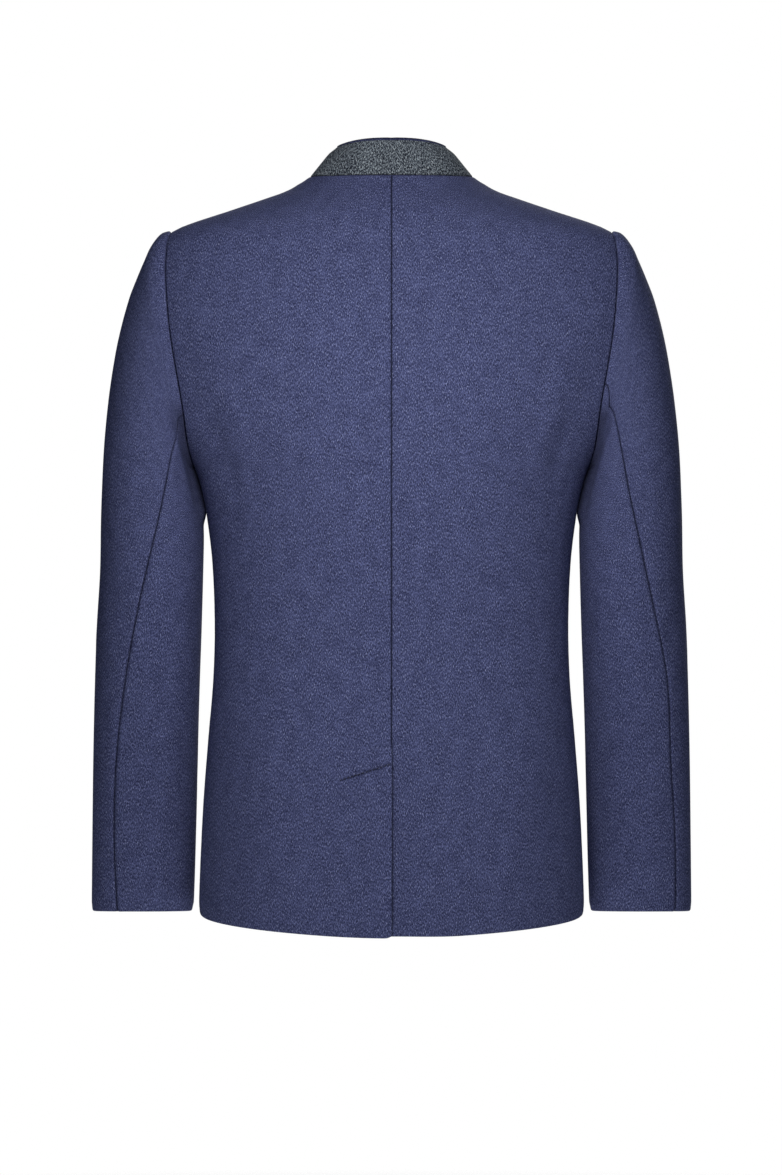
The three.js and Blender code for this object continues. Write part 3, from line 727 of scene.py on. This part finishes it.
def sleeveForm(down, angle):
    ring = sleeveRing(down)
    radius = ringRadius(angle, ring["half"], ring["deep"], sleeve["squareness"])
    for along, place, long_, around, out in sleeveFolds:
        radius = radius + out * np.exp(-(degreesApart(angle, place) / around) ** 2 - ((down - along) / long_) ** 2)
    point = ring["middle"] + ring["way"] * (radius * np.cos(angle))[..., None]
    point[..., 1] += radius * np.sin(angle)
    return point


# Place on the armhole seam: down its back, then up its front
def armholePoint(side, step):
    lowest = sleeve["steps"] / 2
    rear = step <= lowest
    down = np.where(rear, step, sleeve["steps"] - step)
    z = mix(body["shoulderEndZ"], body["underarmZ"], (1 - np.cos(np.pi * down / lowest)) / 2)
    seam = bodyAt(z, "seam")
    back = bodyPoint(turn(angleAcross(seam, z, "back"), side, "back"), z)
    front = bodyPoint(turn(angleAcross(seam, z, "front"), side, "front"), z)
    point = np.where(rear[..., None], back, front)
    point[..., 0] *= side
    return point


def hindAngle(down, side):
    ring = sleeveRing(down)
    off = (read(hindSeamTable, 1 if side > 0 else 2, down) - ring["middle"][..., 0]) / ring["way"][..., 0]
    n = sleeve["squareness"]
    share = np.clip(np.abs(off) / ring["half"], 0, 1)
    return np.arctan2(ring["deep"] * (1 - share ** n) ** (1 / n), off)


# Point of the sleeve, and its angle round the ring, at a step round and a length down
def sleevePlace(side, step, down):
    step = step % sleeve["steps"]
    seam = armholePoint(side, step)
    ring = sleeveRing(np.zeros_like(down))
    off = seam - ring["middle"]
    begin = np.arctan2(off[..., 1], np.sum(off * ring["way"], -1))
    late = step > sleeve["steps"] / 2
    begin = np.where(late & (begin < math.pi / 2), begin + 2 * math.pi, begin)
    begin = np.where(~late & (begin < -math.pi / 2), begin + 2 * math.pi, begin)
    apart = seam - sleeveForm(np.zeros_like(down), begin)
    hind = hindAngle(np.maximum(down, sleeve["hindFrom"][side]), side)
    fore = math.radians(sleeve["foreAngle"])
    hindStep, foreStep, steps = sleeve["hind"][side], sleeve["fore"], sleeve["steps"]
    hanging = np.where(
        step <= hindStep, hind * step / hindStep,
        np.where(step <= foreStep, mix(hind, fore, (step - hindStep) / (foreStep - hindStep)),
                 mix(fore, 2 * math.pi, (step - foreStep) / (steps - foreStep))))
    nearHind = np.exp(-((step - hindStep) / sleeve["nearHind"]) ** 2)
    angle = mix(begin, hanging, ease(down / mix(sleeve["turnedBy"], sleeve["hindTurnedBy"][side], nearHind)))
    point = sleeveForm(down, angle) + apart * (1 - ease(down / sleeve["armholeShape"]))[..., None]
    return point, angle


# How far places lie outside the body, away from its middle
def bodyGap(points):
    round_ = np.arctan2(points[..., 1], points[..., 0])
    near = bodyPoint(round_, points[..., 2])
    return np.hypot(points[..., 0], points[..., 1]) - np.hypot(near[..., 0], near[..., 1])


# The sleeve's inside rests on the body below the underarm
def rested(points):
    z = points[..., 2]
    share = ease((body["underarmZ"] + underarm["above"] - z) / underarm["ramp"])
    share = share * ease((z - underarm["endZ"]) / underarm["fade"])
    share = share * np.exp(-(points[..., 1] / underarm["deep"]) ** 4) * (points[..., 0] < underarm["widest"])
    gap = bodyGap(points)
    near = gap - underarm["touch"]
    out = points / np.maximum(np.hypot(points[..., 0], points[..., 1]), 1)[..., None] * [1, 1, 0]
    return points - out * (share * np.exp(-(gap / underarm["reach"]) ** 4) * near)[..., None]


def underarmShade(points):
    y, z = points[..., 1], points[..., 2]
    fade = ease((z - underarm["shadeEndZ"]) / underarm["shadeFade"])
    return fade * ease((underarm["shadeFromZ"] - z) / underarm["shadeRamp"]) * ease(
        (y - underarm["shadeFromY"]) / underarm["shadeWide"])


def sleevePoint(side, step, down):
    return rested(sleevePlace(side, step, down)[0])


def sleeveWall(side, start, end, columns):
    edge, cuff = np.array(cloth["edgeSteps"]), sleeve["length"] - np.array(panel["hemSteps"])
    inner = mix(edge[-1], cuff[0], np.linspace(0, 1, sleeve["rings"]) ** sleeve["crowding"])
    rows = np.concatenate([edge[:-1], inner, cuff[1:]])
    laid = layColumns(lambda step, down: sleevePoint(side, step, down), rows,
                      np.full(len(rows), float(start)), np.full(len(rows), float(end)), columns)
    down = rows[:, None] + 0 * laid
    points, angle = sleevePlace(side, laid, down)
    points = rested(points)
    gap = bodyGap(points)
    round_ = sleevePoint(side, laid + 0.02, down) - sleevePoint(side, laid - 0.02, down)
    along = sleevePoint(side, laid, np.minimum(down + 0.5, sleeve["length"]))
    along = along - sleevePoint(side, laid, np.maximum(down - 0.5, 0))
    normals = unit(np.cross(along, round_))
    distance = edgeDistance(points)
    degrees = np.degrees(angle) % 360
    relief = np.zeros(points.shape[:2])
    for place in (degrees, degrees - 360):
        relief += creased(place, down, sleeve["creases"][side])
    relief = relief * ease(down / sleeve["creaseFrom"]) * ease(distance / sleeve["creaseEdge"])
    relief += pucker(down, distance, sleeve["pucker"])
    across = alongRows(points)
    isUnder = start < sleeve["fore"]
    fromHind, fromFore = (across, across[:, -1:] - across) if isUnder else (across[:, -1:] - across, across)
    relief += sleeve["hindDepth"] * seam(fromHind) + seam(fromFore) + sleeve["armholeSeam"] * seam(down)
    relief += sleeve["ridge"] * np.exp(-((fromHind - sleeve["ridgeAt"]) / sleeve["ridgeHalf"]) ** 2) * isUnder
    # Painted shade along the hind, fore and armhole seams
    shadeAmount = np.maximum.reduce([
        paintedShade(fromHind), sleeve["foreSeam"] * paintedShade(fromFore), sleeve["armholeSeam"] * paintedShade(down)])
    under = underarmShade(points)
    tuck = np.exp(-((gap - underarm["tuckAt"]) / underarm["tuckHalf"]) ** 2)
    relief -= underarm["tuck"] * under * ease(down / underarm["tuckFrom"]) * tuck
    # Painted shade in the crevice where the sleeve lies against the body
    shadeAmount = np.maximum(shadeAmount, underarm["shade"] * under * np.exp(-(gap / underarm["shadeReach"]) ** 2))
    lowest = sleeve["steps"] / 2
    fromTop = np.abs((laid + lowest) % sleeve["steps"] - lowest)
    upper = ease(np.clip(sleeve["headReach"] - fromTop / sleeve["headSpread"], 0, 1))
    relief += sleeve["headRise"] * upper * ease(down / sleeve["headStart"]) * np.exp(-(down / sleeve["headEnd"]) ** 2)
    drop = sleeve["length"] - down
    relief -= sleeve["hemRoll"] * cloth["hemRoll"] * np.clip(1 - drop / sleeve["hemRollTall"], 0, 1) ** 2
    points = points + normals * relief[..., None]
    outer, inner = wall(points, normals, hemThick(drop), distance)
    for face in (outer, inner):
        face[..., 0] *= side
    return outer, inner, side * alongRows(points), -down, shadeAmount


sleevePieces = {
    "sleeveLeftTop": {"node": "sleeve_left_top", "slot": "loden_navy", "flat": (0.24, 0.68), "area": 0.119},
    "sleeveLeftUnder": {"node": "sleeve_left_under", "slot": "loden_navy", "flat": (0.17, 0.56), "area": 0.071},
    "sleeveRightTop": {"node": "sleeve_right_top", "slot": "loden_navy", "flat": (0.24, 0.68), "area": 0.114},
    "sleeveRightUnder": {"node": "sleeve_right_under", "slot": "loden_navy", "flat": (0.18, 0.56), "area": 0.076},
}
for name, facts in sleevePieces.items():
    side = 1 if "Left" in name else -1
    hind = sleeve["hind"][side]
    if "Top" in name:
        made = sleeveWall(side, sleeve["fore"], sleeve["steps"] + hind, sleeve["topColumns"])
    else:
        made = sleeveWall(side, hind, sleeve["fore"], sleeve["underColumns"])
    dress(makePiece(name, made), facts)

print("stage: sleeves")

# Stand collar
collar = {
    "riseBack": 33.5, "riseSide": 28, "riseFront": 34, "leanSide": 0.711, "leanBack": 0.81, "leanFront": 0.86,
    "curl": 0.035, "cornerDrop": 0.14, "cornerReach": 12, "frontGap": 3, "columns": 230, "smoothing": 30,
    "shadeShare": 0.65, "edgeShade": 0.9, "topRound": 0.9, "topRoundFrom": 0.35, "capOver": 0.2, "endRows": 9,
    "capSteps": [0.25, 0.5, 0.9, 1.4, 1.9, 2.4, 2.85, 3],  # heights of the inner layer above the outer one
    "rowShares": [0, 0.003, 0.01, 0.02, 0.035, 0.06, 0.12, 0.2, 0.3, 0.4, 0.5, 0.6, 0.7, 0.8, 0.87, 0.93,
                  0.96, 0.98, 0.99, 0.997, 1],
}


# The neckline from the centre front of one side round to the centre back
def neckEdge(side):
    front = panels["frontLeft" if side > 0 else "frontRight"]["points"][:, 0]
    back = panels["backLeft" if side > 0 else "backRight"]["points"][0]
    x = side * front[:, 0]
    last = int(np.argmax(x < collar["frontGap"] / 2))
    share = (x[last - 1] - collar["frontGap"] / 2) / (x[last - 1] - x[last])
    start = mix(front[last - 1], front[last], share)
    return np.concatenate([start[None], front[last - 1::-1], back[::-1]])


def evenly(points, count):
    step = np.linalg.norm(np.diff(points, axis=0), axis=1)
    arc = np.concatenate([[0], np.cumsum(step)])
    at = np.linspace(0, arc[-1], count)
    return np.stack([np.interp(at, arc, points[:, k]) for k in range(3)], -1), at


def smoothed(points, times):
    for _ in range(times):
        points = np.concatenate([points[:1], (points[:-2] + 2 * points[1:-1] + points[2:]) / 4, points[-1:]])
    return points


def collarSurface(base, share):
    round_ = np.clip(np.abs(base[:, 0]) / body["neckHalfWidth"], 0, 1)
    rear = ease((base[:, 1] + 6) / 12)
    rise = mix(mix(collar["riseFront"], collar["riseBack"], rear), collar["riseSide"], round_ ** 3)
    leanY = mix(collar["leanFront"], collar["leanBack"], rear)
    curl = collar["curl"] * (ease((share - 0.7) / 0.3) ** 1.5)
    return np.stack([
        base[:, 0] * (mix(1, collar["leanSide"], share) - curl),
        base[:, 1] * mix(1, leanY, share),
        base[:, 2] + cloth["seamGap"] + rise * share,
    ], -1)


def collarFace():
    base = np.concatenate([neckEdge(1), neckEdge(-1)[-2::-1]])
    base, at = evenly(base, 4 * collar["columns"])
    base = smoothed(base, collar["smoothing"])
    edge = np.array(cloth["edgeSteps"])
    total = at[-1]
    inner = np.linspace(edge[-1], total - edge[-1], collar["columns"])
    place = np.concatenate([edge[:-1], inner, (total - edge[:-1])[::-1]])
    base = np.stack([np.interp(place, at, base[:, k]) for k in range(3)], -1)
    ends = np.minimum(place, total - place)
    corner = collar["cornerDrop"] * (1 - ease(ends / collar["cornerReach"])) ** 1.6
    rows = [collarSurface(base, share * (1 - corner)) for share in collar["rowShares"]]
    return np.array(rows), place


collarPoints, collarAlong = collarFace()
rowStep = np.gradient(collarPoints, axis=0)
collarUp = unit(rowStep)
collarOut = unit(np.cross(np.gradient(collarPoints, axis=1), rowStep))
if np.sum(collarOut[..., :2] * collarPoints[..., :2]) < 0:
    collarOut = -collarOut


def outerCollarWall():
    up = alongColumns(collarPoints)
    outer, inner = wall(collarPoints, collarOut, cloth["collarThick"] + 0 * up, edgeDistance(collarPoints))
    # Painted shade along the seam at the collar's foot
    return outer, inner, collarAlong[None] + 0 * up, -up, collar["shadeShare"] * paintedShade(up)


# Rows of the inner layer above the outer one, each at its depth behind the outer face
def capRows(depths):
    return np.array([collarPoints[-1] + collarUp[-1] * rise - collarOut[-1] * depth
                     for rise, depth in zip(collar["capSteps"], depths)])


def innerCollarWall():
    sunk, half = cloth["collarThick"] + cloth["seamGap"], cloth["collarThick"] / 2
    deep = sunk + cloth["collarThick"]
    steps = np.array(collar["capSteps"])
    over = mix(sunk, -collar["capOver"], ease((steps - 0.1) / 0.5))
    outer = np.concatenate([collarPoints - collarOut * sunk, capRows(over)])
    inner = np.concatenate([collarPoints - collarOut * deep, capRows(deep + 0 * steps)])
    normals = np.concatenate([collarOut, np.repeat(collarOut[-1:], len(steps), 0)])
    rows = len(collarPoints)
    cap = np.concatenate([np.zeros(rows), steps / steps[-1]])[:, None]
    from_ = collar["topRoundFrom"]
    roundOver = 1 - np.sqrt(np.maximum(0, 1 - np.clip((cap - from_) / (1 - from_), 0, 1) ** 2))
    toEnd = np.minimum(collarAlong, collarAlong[-1] - collarAlong) + np.zeros((len(outer), 1))
    near = np.concatenate([edgeDistance(outer[:rows])[:-collar["endRows"]], toEnd[rows - collar["endRows"]:]])
    near = np.minimum(near, half)
    endDip = cloth["roundShare"] * (half - np.sqrt(np.maximum(0, half ** 2 - (half - near) ** 2)))
    wide = np.linalg.norm(inner - outer, axis=2) / 2
    dip = np.maximum(endDip, collar["topRound"] * wide * roundOver)[..., None]
    return (outer - normals * dip, inner + normals * dip, collarAlong[None] + 0 * wide, -alongColumns(outer),
            collar["edgeShade"] * ease(3 * cap) + 0 * wide)


collarPieces = {
    "collarOuter": {"node": "collar_outer", "slot": "loden_charcoal", "flat": (0.42, 0.05), "area": 0.0165},
    "collarInner": {"node": "collar_inner", "slot": "loden_navy", "flat": (0.42, 0.055), "area": 0.0175},
}
dress(makePiece("collarOuter", outerCollarWall()), collarPieces["collarOuter"])
dress(makePiece("collarInner", innerCollarWall()), collarPieces["collarInner"])

print("stage: collar")

# Sewing
thread = Graph("thread")
threadPlace = thread.node("ShaderNodeTexCoord", {}, {}, "Object")
threadTwist = thread.node("ShaderNodeTexWave", {"wave_type": "BANDS", "bands_direction": "DIAGONAL"}, {
    "Vector": threadPlace, "Scale": 900.0, "Distortion": 1.5})
threadFinish = thread.finish({
    "Base Color": thread.blend(threadTwist, linear(15, 17, 32), linear(34, 38, 62)),
    "Roughness": 0.7, "Sheen Weight": 0.1,
}, {"Strength": 0.5, "Distance": 0.0001, "Height": threadTwist})


# One mesh of round-ended thread lengths, each a row of points with the way out of the cloth
def tubes(name, runs, radius):
    points, faces, sides = [], [], 8
    for run, out in runs:
        run, out = np.array(run, float), np.array(out, float)
        along = unit(np.gradient(run, axis=0))
        aside = unit(np.cross(along, out))
        lift = np.cross(aside, along)
        count = len(run)
        swell = np.sqrt(np.maximum(0.03, 1 - np.abs(np.linspace(-1, 1, count)) ** 6))
        base = len(points)
        for k in range(count):
            for n in range(sides):
                turned = 2 * math.pi * n / sides
                points.append(run[k] + radius * swell[k] * (aside[k] * math.cos(turned) + lift[k] * math.sin(turned)))
        for k in range(count - 1):
            for n in range(sides):
                m = (n + 1) % sides
                here, above = base + k * sides, base + (k + 1) * sides
                faces.append((here + n, here + m, above + m, above + n))
        faces.append(tuple(base + n for n in reversed(range(sides))))
        faces.append(tuple(base + (count - 1) * sides + n for n in range(sides)))
    mesh = bpy.data.meshes.new(name)
    mesh.from_pydata((np.array(points) * millimetre).tolist(), [], faces)
    made = placed(name, mesh)
    made.data.materials.append(threadFinish)
    return made


# Point and outward way on the wearer's-left panel of a face, at x from the centre
def surfacePlace(x, z, face):
    angle = turn(angleAcross(x, z, face), 1, face)
    return bodyPoint(angle, z), bodyNormal(angle, z)


# A stitch lying from one place to another, with its middle bowed out
def stitchRun(x, z, reach, face, depth, bow):
    share = np.linspace(0, 1, 7)
    points, out = surfacePlace(mix(x, x + reach[0], share), mix(z, z + reach[1], share), face)
    rise = depth + bow * np.sin(share * math.pi)
    return points + out * rise[:, None], out


ventStitches = {
    "slot": "loden_navy", "from": 1.6, "endGap": 4, "pitch": 3.5, "long": 2.1, "radius": 0.5,
    "depth": -0.5, "bow": 0.45,
}
runs = []
x = ventStitches["from"]
while x < vent["lineLong"] - ventStitches["endGap"]:
    reach = (ventStitches["long"], -ventStitches["long"] * vent["slant"] / vent["underlap"])
    runs.append(stitchRun(x, ventLine(x), reach, "back", ventStitches["depth"], ventStitches["bow"]))
    x += ventStitches["pitch"]
made = tubes("ventStitches", runs, ventStitches["radius"])
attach(made, "root")

print("stage: vent stitches")

# Buttons and buttonholes
button = {
    "heights": [-92, -187, -282, -377, -472], "radius": 10, "thick": 3.6, "rim": 1.1, "stand": 0.3,
    "rimWide": 2.2, "rimSlope": 1.2, "dishWide": 3, "dishDeep": 0.1, "footWide": 1.4, "footRise": 0.6,
    "bevel": 0.35, "hole": 0.95, "holeApart": 3.4, "drill": 20, "slot": "horn",
}
buttonThread = {"radius": 0.27, "bow": 0.42, "sink": 1.0, "below": 0.1, "beyond": 0.15, "places": (-0.25, 0.2)}
buttonhole = {
    "from": -4.5, "to": 19, "halfHeight": 1.5, "radius": 0.3, "pitch": 0.75, "slot": "loden_navy",
    "open": 0.25, "slope": 0.06, "wobble": 0.12, "depth": 0.12, "bow": 0.22, "endStitches": 7,
}

horn = Graph("horn")
hornPlace = horn.node("ShaderNodeTexCoord", {}, {}, "Object")
hornStretched = horn.node("ShaderNodeMapping", {}, {"Vector": hornPlace, "Scale": (60, 200, 340)})
streaks = horn.node("ShaderNodeTexNoise", {}, {
    "Vector": hornStretched, "Scale": 1.0, "Detail": 5.0, "Distortion": 0.8})
hornFinish = horn.finish({
    "Base Color": horn.blend(horn.ranged(streaks, 0.38, 0.66), linear(46, 34, 26), linear(118, 96, 72)),
    "Roughness": horn.ranged(streaks, -0.4, 1.9), "Coat Weight": 0.15,
}, {"Strength": 0.12, "Distance": 0.0002, "Height": streaks})


def selectFaces(mesh, chosen):
    bm = bmesh.from_edit_mesh(mesh)
    bm.faces.ensure_lookup_table()
    for face in bm.faces:
        face.select_set(bool(chosen(face)))
    bm.select_flush_mode()
    bmesh.update_edit_mesh(mesh)


def applyModifier(made, kind, settings):
    modifier = made.modifiers.new(kind.title(), kind)
    for key, value in settings.items():
        setattr(modifier, key, value)
    bpy.ops.object.modifier_apply(modifier=modifier.name)


def modelButton():
    radius, thick = button["radius"] * millimetre, button["thick"] * millimetre
    bpy.ops.object.select_all(action="DESELECT")
    bpy.ops.mesh.primitive_cylinder_add(vertices=48, radius=radius, depth=thick, location=(0, 0, thick / 2))
    made = bpy.context.active_object
    bpy.ops.object.transform_apply(location=True, rotation=True, scale=True)
    bpy.ops.object.mode_set(mode="EDIT")
    bpy.ops.mesh.select_mode(type="FACE")
    selectFaces(made.data, lambda face: face.normal.z > 0.9)
    for wide, deep in (("rimWide", 0), ("rimSlope", button["rim"]), ("dishWide", button["dishDeep"])):
        bpy.ops.mesh.inset(thickness=button[wide] * millimetre, depth=-deep * millimetre)
    selectFaces(made.data, lambda face: face.normal.z < -0.9)
    bpy.ops.mesh.inset(thickness=button["footWide"] * millimetre, depth=button["footRise"] * millimetre)
    bpy.ops.object.mode_set(mode="OBJECT")
    off = button["holeApart"] / 2 * millimetre
    for x, y in ((off, off), (off, -off), (-off, off), (-off, -off)):
        bpy.ops.object.select_all(action="DESELECT")
        bpy.ops.mesh.primitive_cylinder_add(
            vertices=20, radius=button["hole"] * millimetre, depth=button["drill"] * millimetre, location=(x, y, 0))
        drill = bpy.context.active_object
        bpy.ops.object.transform_apply(location=True, rotation=True, scale=True)
        bpy.ops.object.select_all(action="DESELECT")
        made.select_set(True)
        bpy.context.view_layer.objects.active = made
        applyModifier(made, "BOOLEAN", {"object": drill, "operation": "DIFFERENCE", "solver": "EXACT"})
        bpy.data.objects.remove(drill)
    applyModifier(made, "BEVEL", {
        "width": button["bevel"] * millimetre, "segments": 3,
        "limit_method": "ANGLE", "angle_limit": math.radians(32)})
    made.data.polygons.foreach_set("use_smooth", np.ones(len(made.data.polygons), bool))
    return made


# Threads across the button, from hole to hole
def sewnOn(origin, out, up):
    level, apart = button["thick"] - button["rim"] - buttonThread["below"], button["holeApart"] / 2
    share = np.linspace(-1, 1, 9)
    rise = level + buttonThread["bow"] * (1 - np.abs(share) ** 4) - buttonThread["sink"] * (np.abs(share) > 0.9)
    first, second = buttonThread["places"]
    runs = []
    for x in (first - apart, second - apart, apart - second, apart - first):
        run = origin + np.array([x, 0, 0]) + up * (share * (apart + buttonThread["beyond"]))[:, None]
        run = run + out * rise[:, None]
        runs.append((run, np.repeat(out[None], len(share), 0)))
    return runs


# Stitches along both lips of a buttonhole and round its end
def workedHole(z, number):
    runs, x, tall = [], buttonhole["from"], buttonhole["halfHeight"]

    def stitch(x, z, reach):
        runs.append(stitchRun(x, z, reach, "front", buttonhole["depth"], buttonhole["bow"]))

    while x < buttonhole["to"]:
        for way in (-1, 1):
            wobble = buttonhole["wobble"] * math.sin(7 * x + 3 * number + way)
            stitch(x, z + way * buttonhole["open"], (buttonhole["slope"] * way, way * (tall + wobble)))
        x += buttonhole["pitch"]
    for k in range(buttonhole["endStitches"]):
        turned = math.pi * ((k + 0.5) / buttonhole["endStitches"] - 0.5)
        stitch(buttonhole["to"], z, (tall * math.cos(turned), tall * math.sin(turned)))
    return runs


pattern = modelButton()
holeRuns, threadRuns = [], []
for number, z in enumerate(button["heights"], 1):
    seat, out = surfacePlace(np.array(0.0), np.array(float(z)), "front")
    side, normal = Vector((1, 0, 0)), Vector(out)
    upward = normal.cross(side).normalized()
    origin = seat + out * button["stand"]
    seated = Matrix((side, upward, normal)).transposed().to_4x4()
    seated.translation = Vector(origin * millimetre)
    mesh = pattern.data.copy()
    mesh.transform(seated)
    made = placed(f"button{number}", mesh)
    made.data.materials.append(hornFinish)
    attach(made, "root")
    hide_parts(f"button_{number}")
    threadRuns += sewnOn(origin, np.array(normal), np.array(upward))
    holeRuns += workedHole(z, number)
bpy.data.objects.remove(pattern)
for name, runs, facts in (("buttonThreads", threadRuns, buttonThread), ("buttonholes", holeRuns, buttonhole)):
    made = tubes(name, runs, facts["radius"])
    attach(made, "root")

print("stage: buttons")

# Studio
studio = {
    "floorZ": -1.02, "floorRadius": 1.2, "floorFade": 0.4, "floorGlow": 0.18,
    "floorPale": (0.96, 0.96, 0.96, 1), "floorDull": (0.93, 0.93, 0.93, 1),
    "camera": (0.0005, 10, -0.394), "lens": 319.15, "backdrop": 1.0, "air": 0.075, "airColour": (0.7, 0.8, 1, 1),
}
# Place, aim, width and power
lights = {
    "key": ((0, 0.95, -0.08), (0, 0, -0.13), 0.5, 5.3),
    "broad": ((0.2, 3.0, 1.1), (0, 0, -0.35), 2.0, 9),
    "frontFill": ((-0.5, -2.6, 0.6), (0, 0, -0.4), 2.2, 42),
    "above": ((0, 0.2, 2.4), (0, 0, -0.4), 2.0, 8),
}


def softLight(name, place, aim, size, power):
    data = bpy.data.lights.new(name, "AREA")
    data.shape, data.size, data.energy = "DISK", size, power
    made = bpy.data.objects.new(name, data)
    made.location = place
    made.rotation_euler = (Vector(aim) - Vector(place)).to_track_quat("-Z", "Y").to_euler()
    made.visible_camera = False
    bpy.context.scene.collection.objects.link(made)


bpy.ops.object.select_all(action="DESELECT")
bpy.ops.mesh.primitive_circle_add(
    vertices=96, radius=studio["floorRadius"], fill_type="NGON", location=(0, 0, studio["floorZ"]))
floor = bpy.context.active_object
floor.name = "floor"
pale = Graph("paleFloor")
palePlace = pale.node("ShaderNodeTexCoord", {}, {}, "Object")
paleNoise = pale.node("ShaderNodeTexNoise", {}, {"Vector": palePlace, "Scale": 40.0, "Detail": 3.0})
away = pale.node("ShaderNodeVectorMath", {"operation": "LENGTH"}, {0: palePlace}, 1)
floor.data.materials.append(pale.finish(
    {"Base Color": pale.blend(paleNoise, studio["floorDull"], studio["floorPale"]), "Roughness": 0.9,
     "Alpha": 1 - pale.ranged(away, studio["floorFade"], studio["floorRadius"]),
     "Emission Color": (1, 1, 1, 1), "Emission Strength": studio["floorGlow"]},
    {"Strength": 0.05, "Distance": 0.001, "Height": paleNoise}))

for name, light in lights.items():
    softLight(name, *light)

world = bpy.data.worlds.new("studioAir")
bpy.context.scene.world = world
world.use_nodes = True
air = world.node_tree
air.nodes.clear()
path = air.nodes.new("ShaderNodeLightPath")
seen, dim, both, output = (air.nodes.new(kind) for kind in (
    "ShaderNodeBackground", "ShaderNodeBackground", "ShaderNodeMixShader", "ShaderNodeOutputWorld"))
backgrounds = ((seen, studio["backdrop"], (1, 1, 1, 1)), (dim, studio["air"], studio["airColour"]))
for background, strength, colour in backgrounds:
    background.inputs["Strength"].default_value = strength
    background.inputs["Color"].default_value = colour
air.links.new(path.outputs["Is Camera Ray"], both.inputs[0])
air.links.new(dim.outputs[0], both.inputs[1])
air.links.new(seen.outputs[0], both.inputs[2])
air.links.new(both.outputs[0], output.inputs["Surface"])

camera = bpy.data.objects.new("camera", bpy.data.cameras.new("camera"))
camera.data.lens = studio["lens"]
camera.location = studio["camera"]
camera.rotation_euler = (math.pi / 2, 0, math.pi)
bpy.context.scene.collection.objects.link(camera)
bpy.context.scene.camera = camera
bpy.context.scene.view_settings.view_transform = "Standard"

for name in [*bodyPieces, *sleevePieces, *collarPieces]:
    shown = bpy.data.objects[name]
    half = sum(face.area for face in shown.data.polygons) / 2
    triangles = sum(len(face.vertices) - 2 for face in shown.data.polygons)
    print(name, "cloth", round(half, 4), "m2", triangles, "triangles")
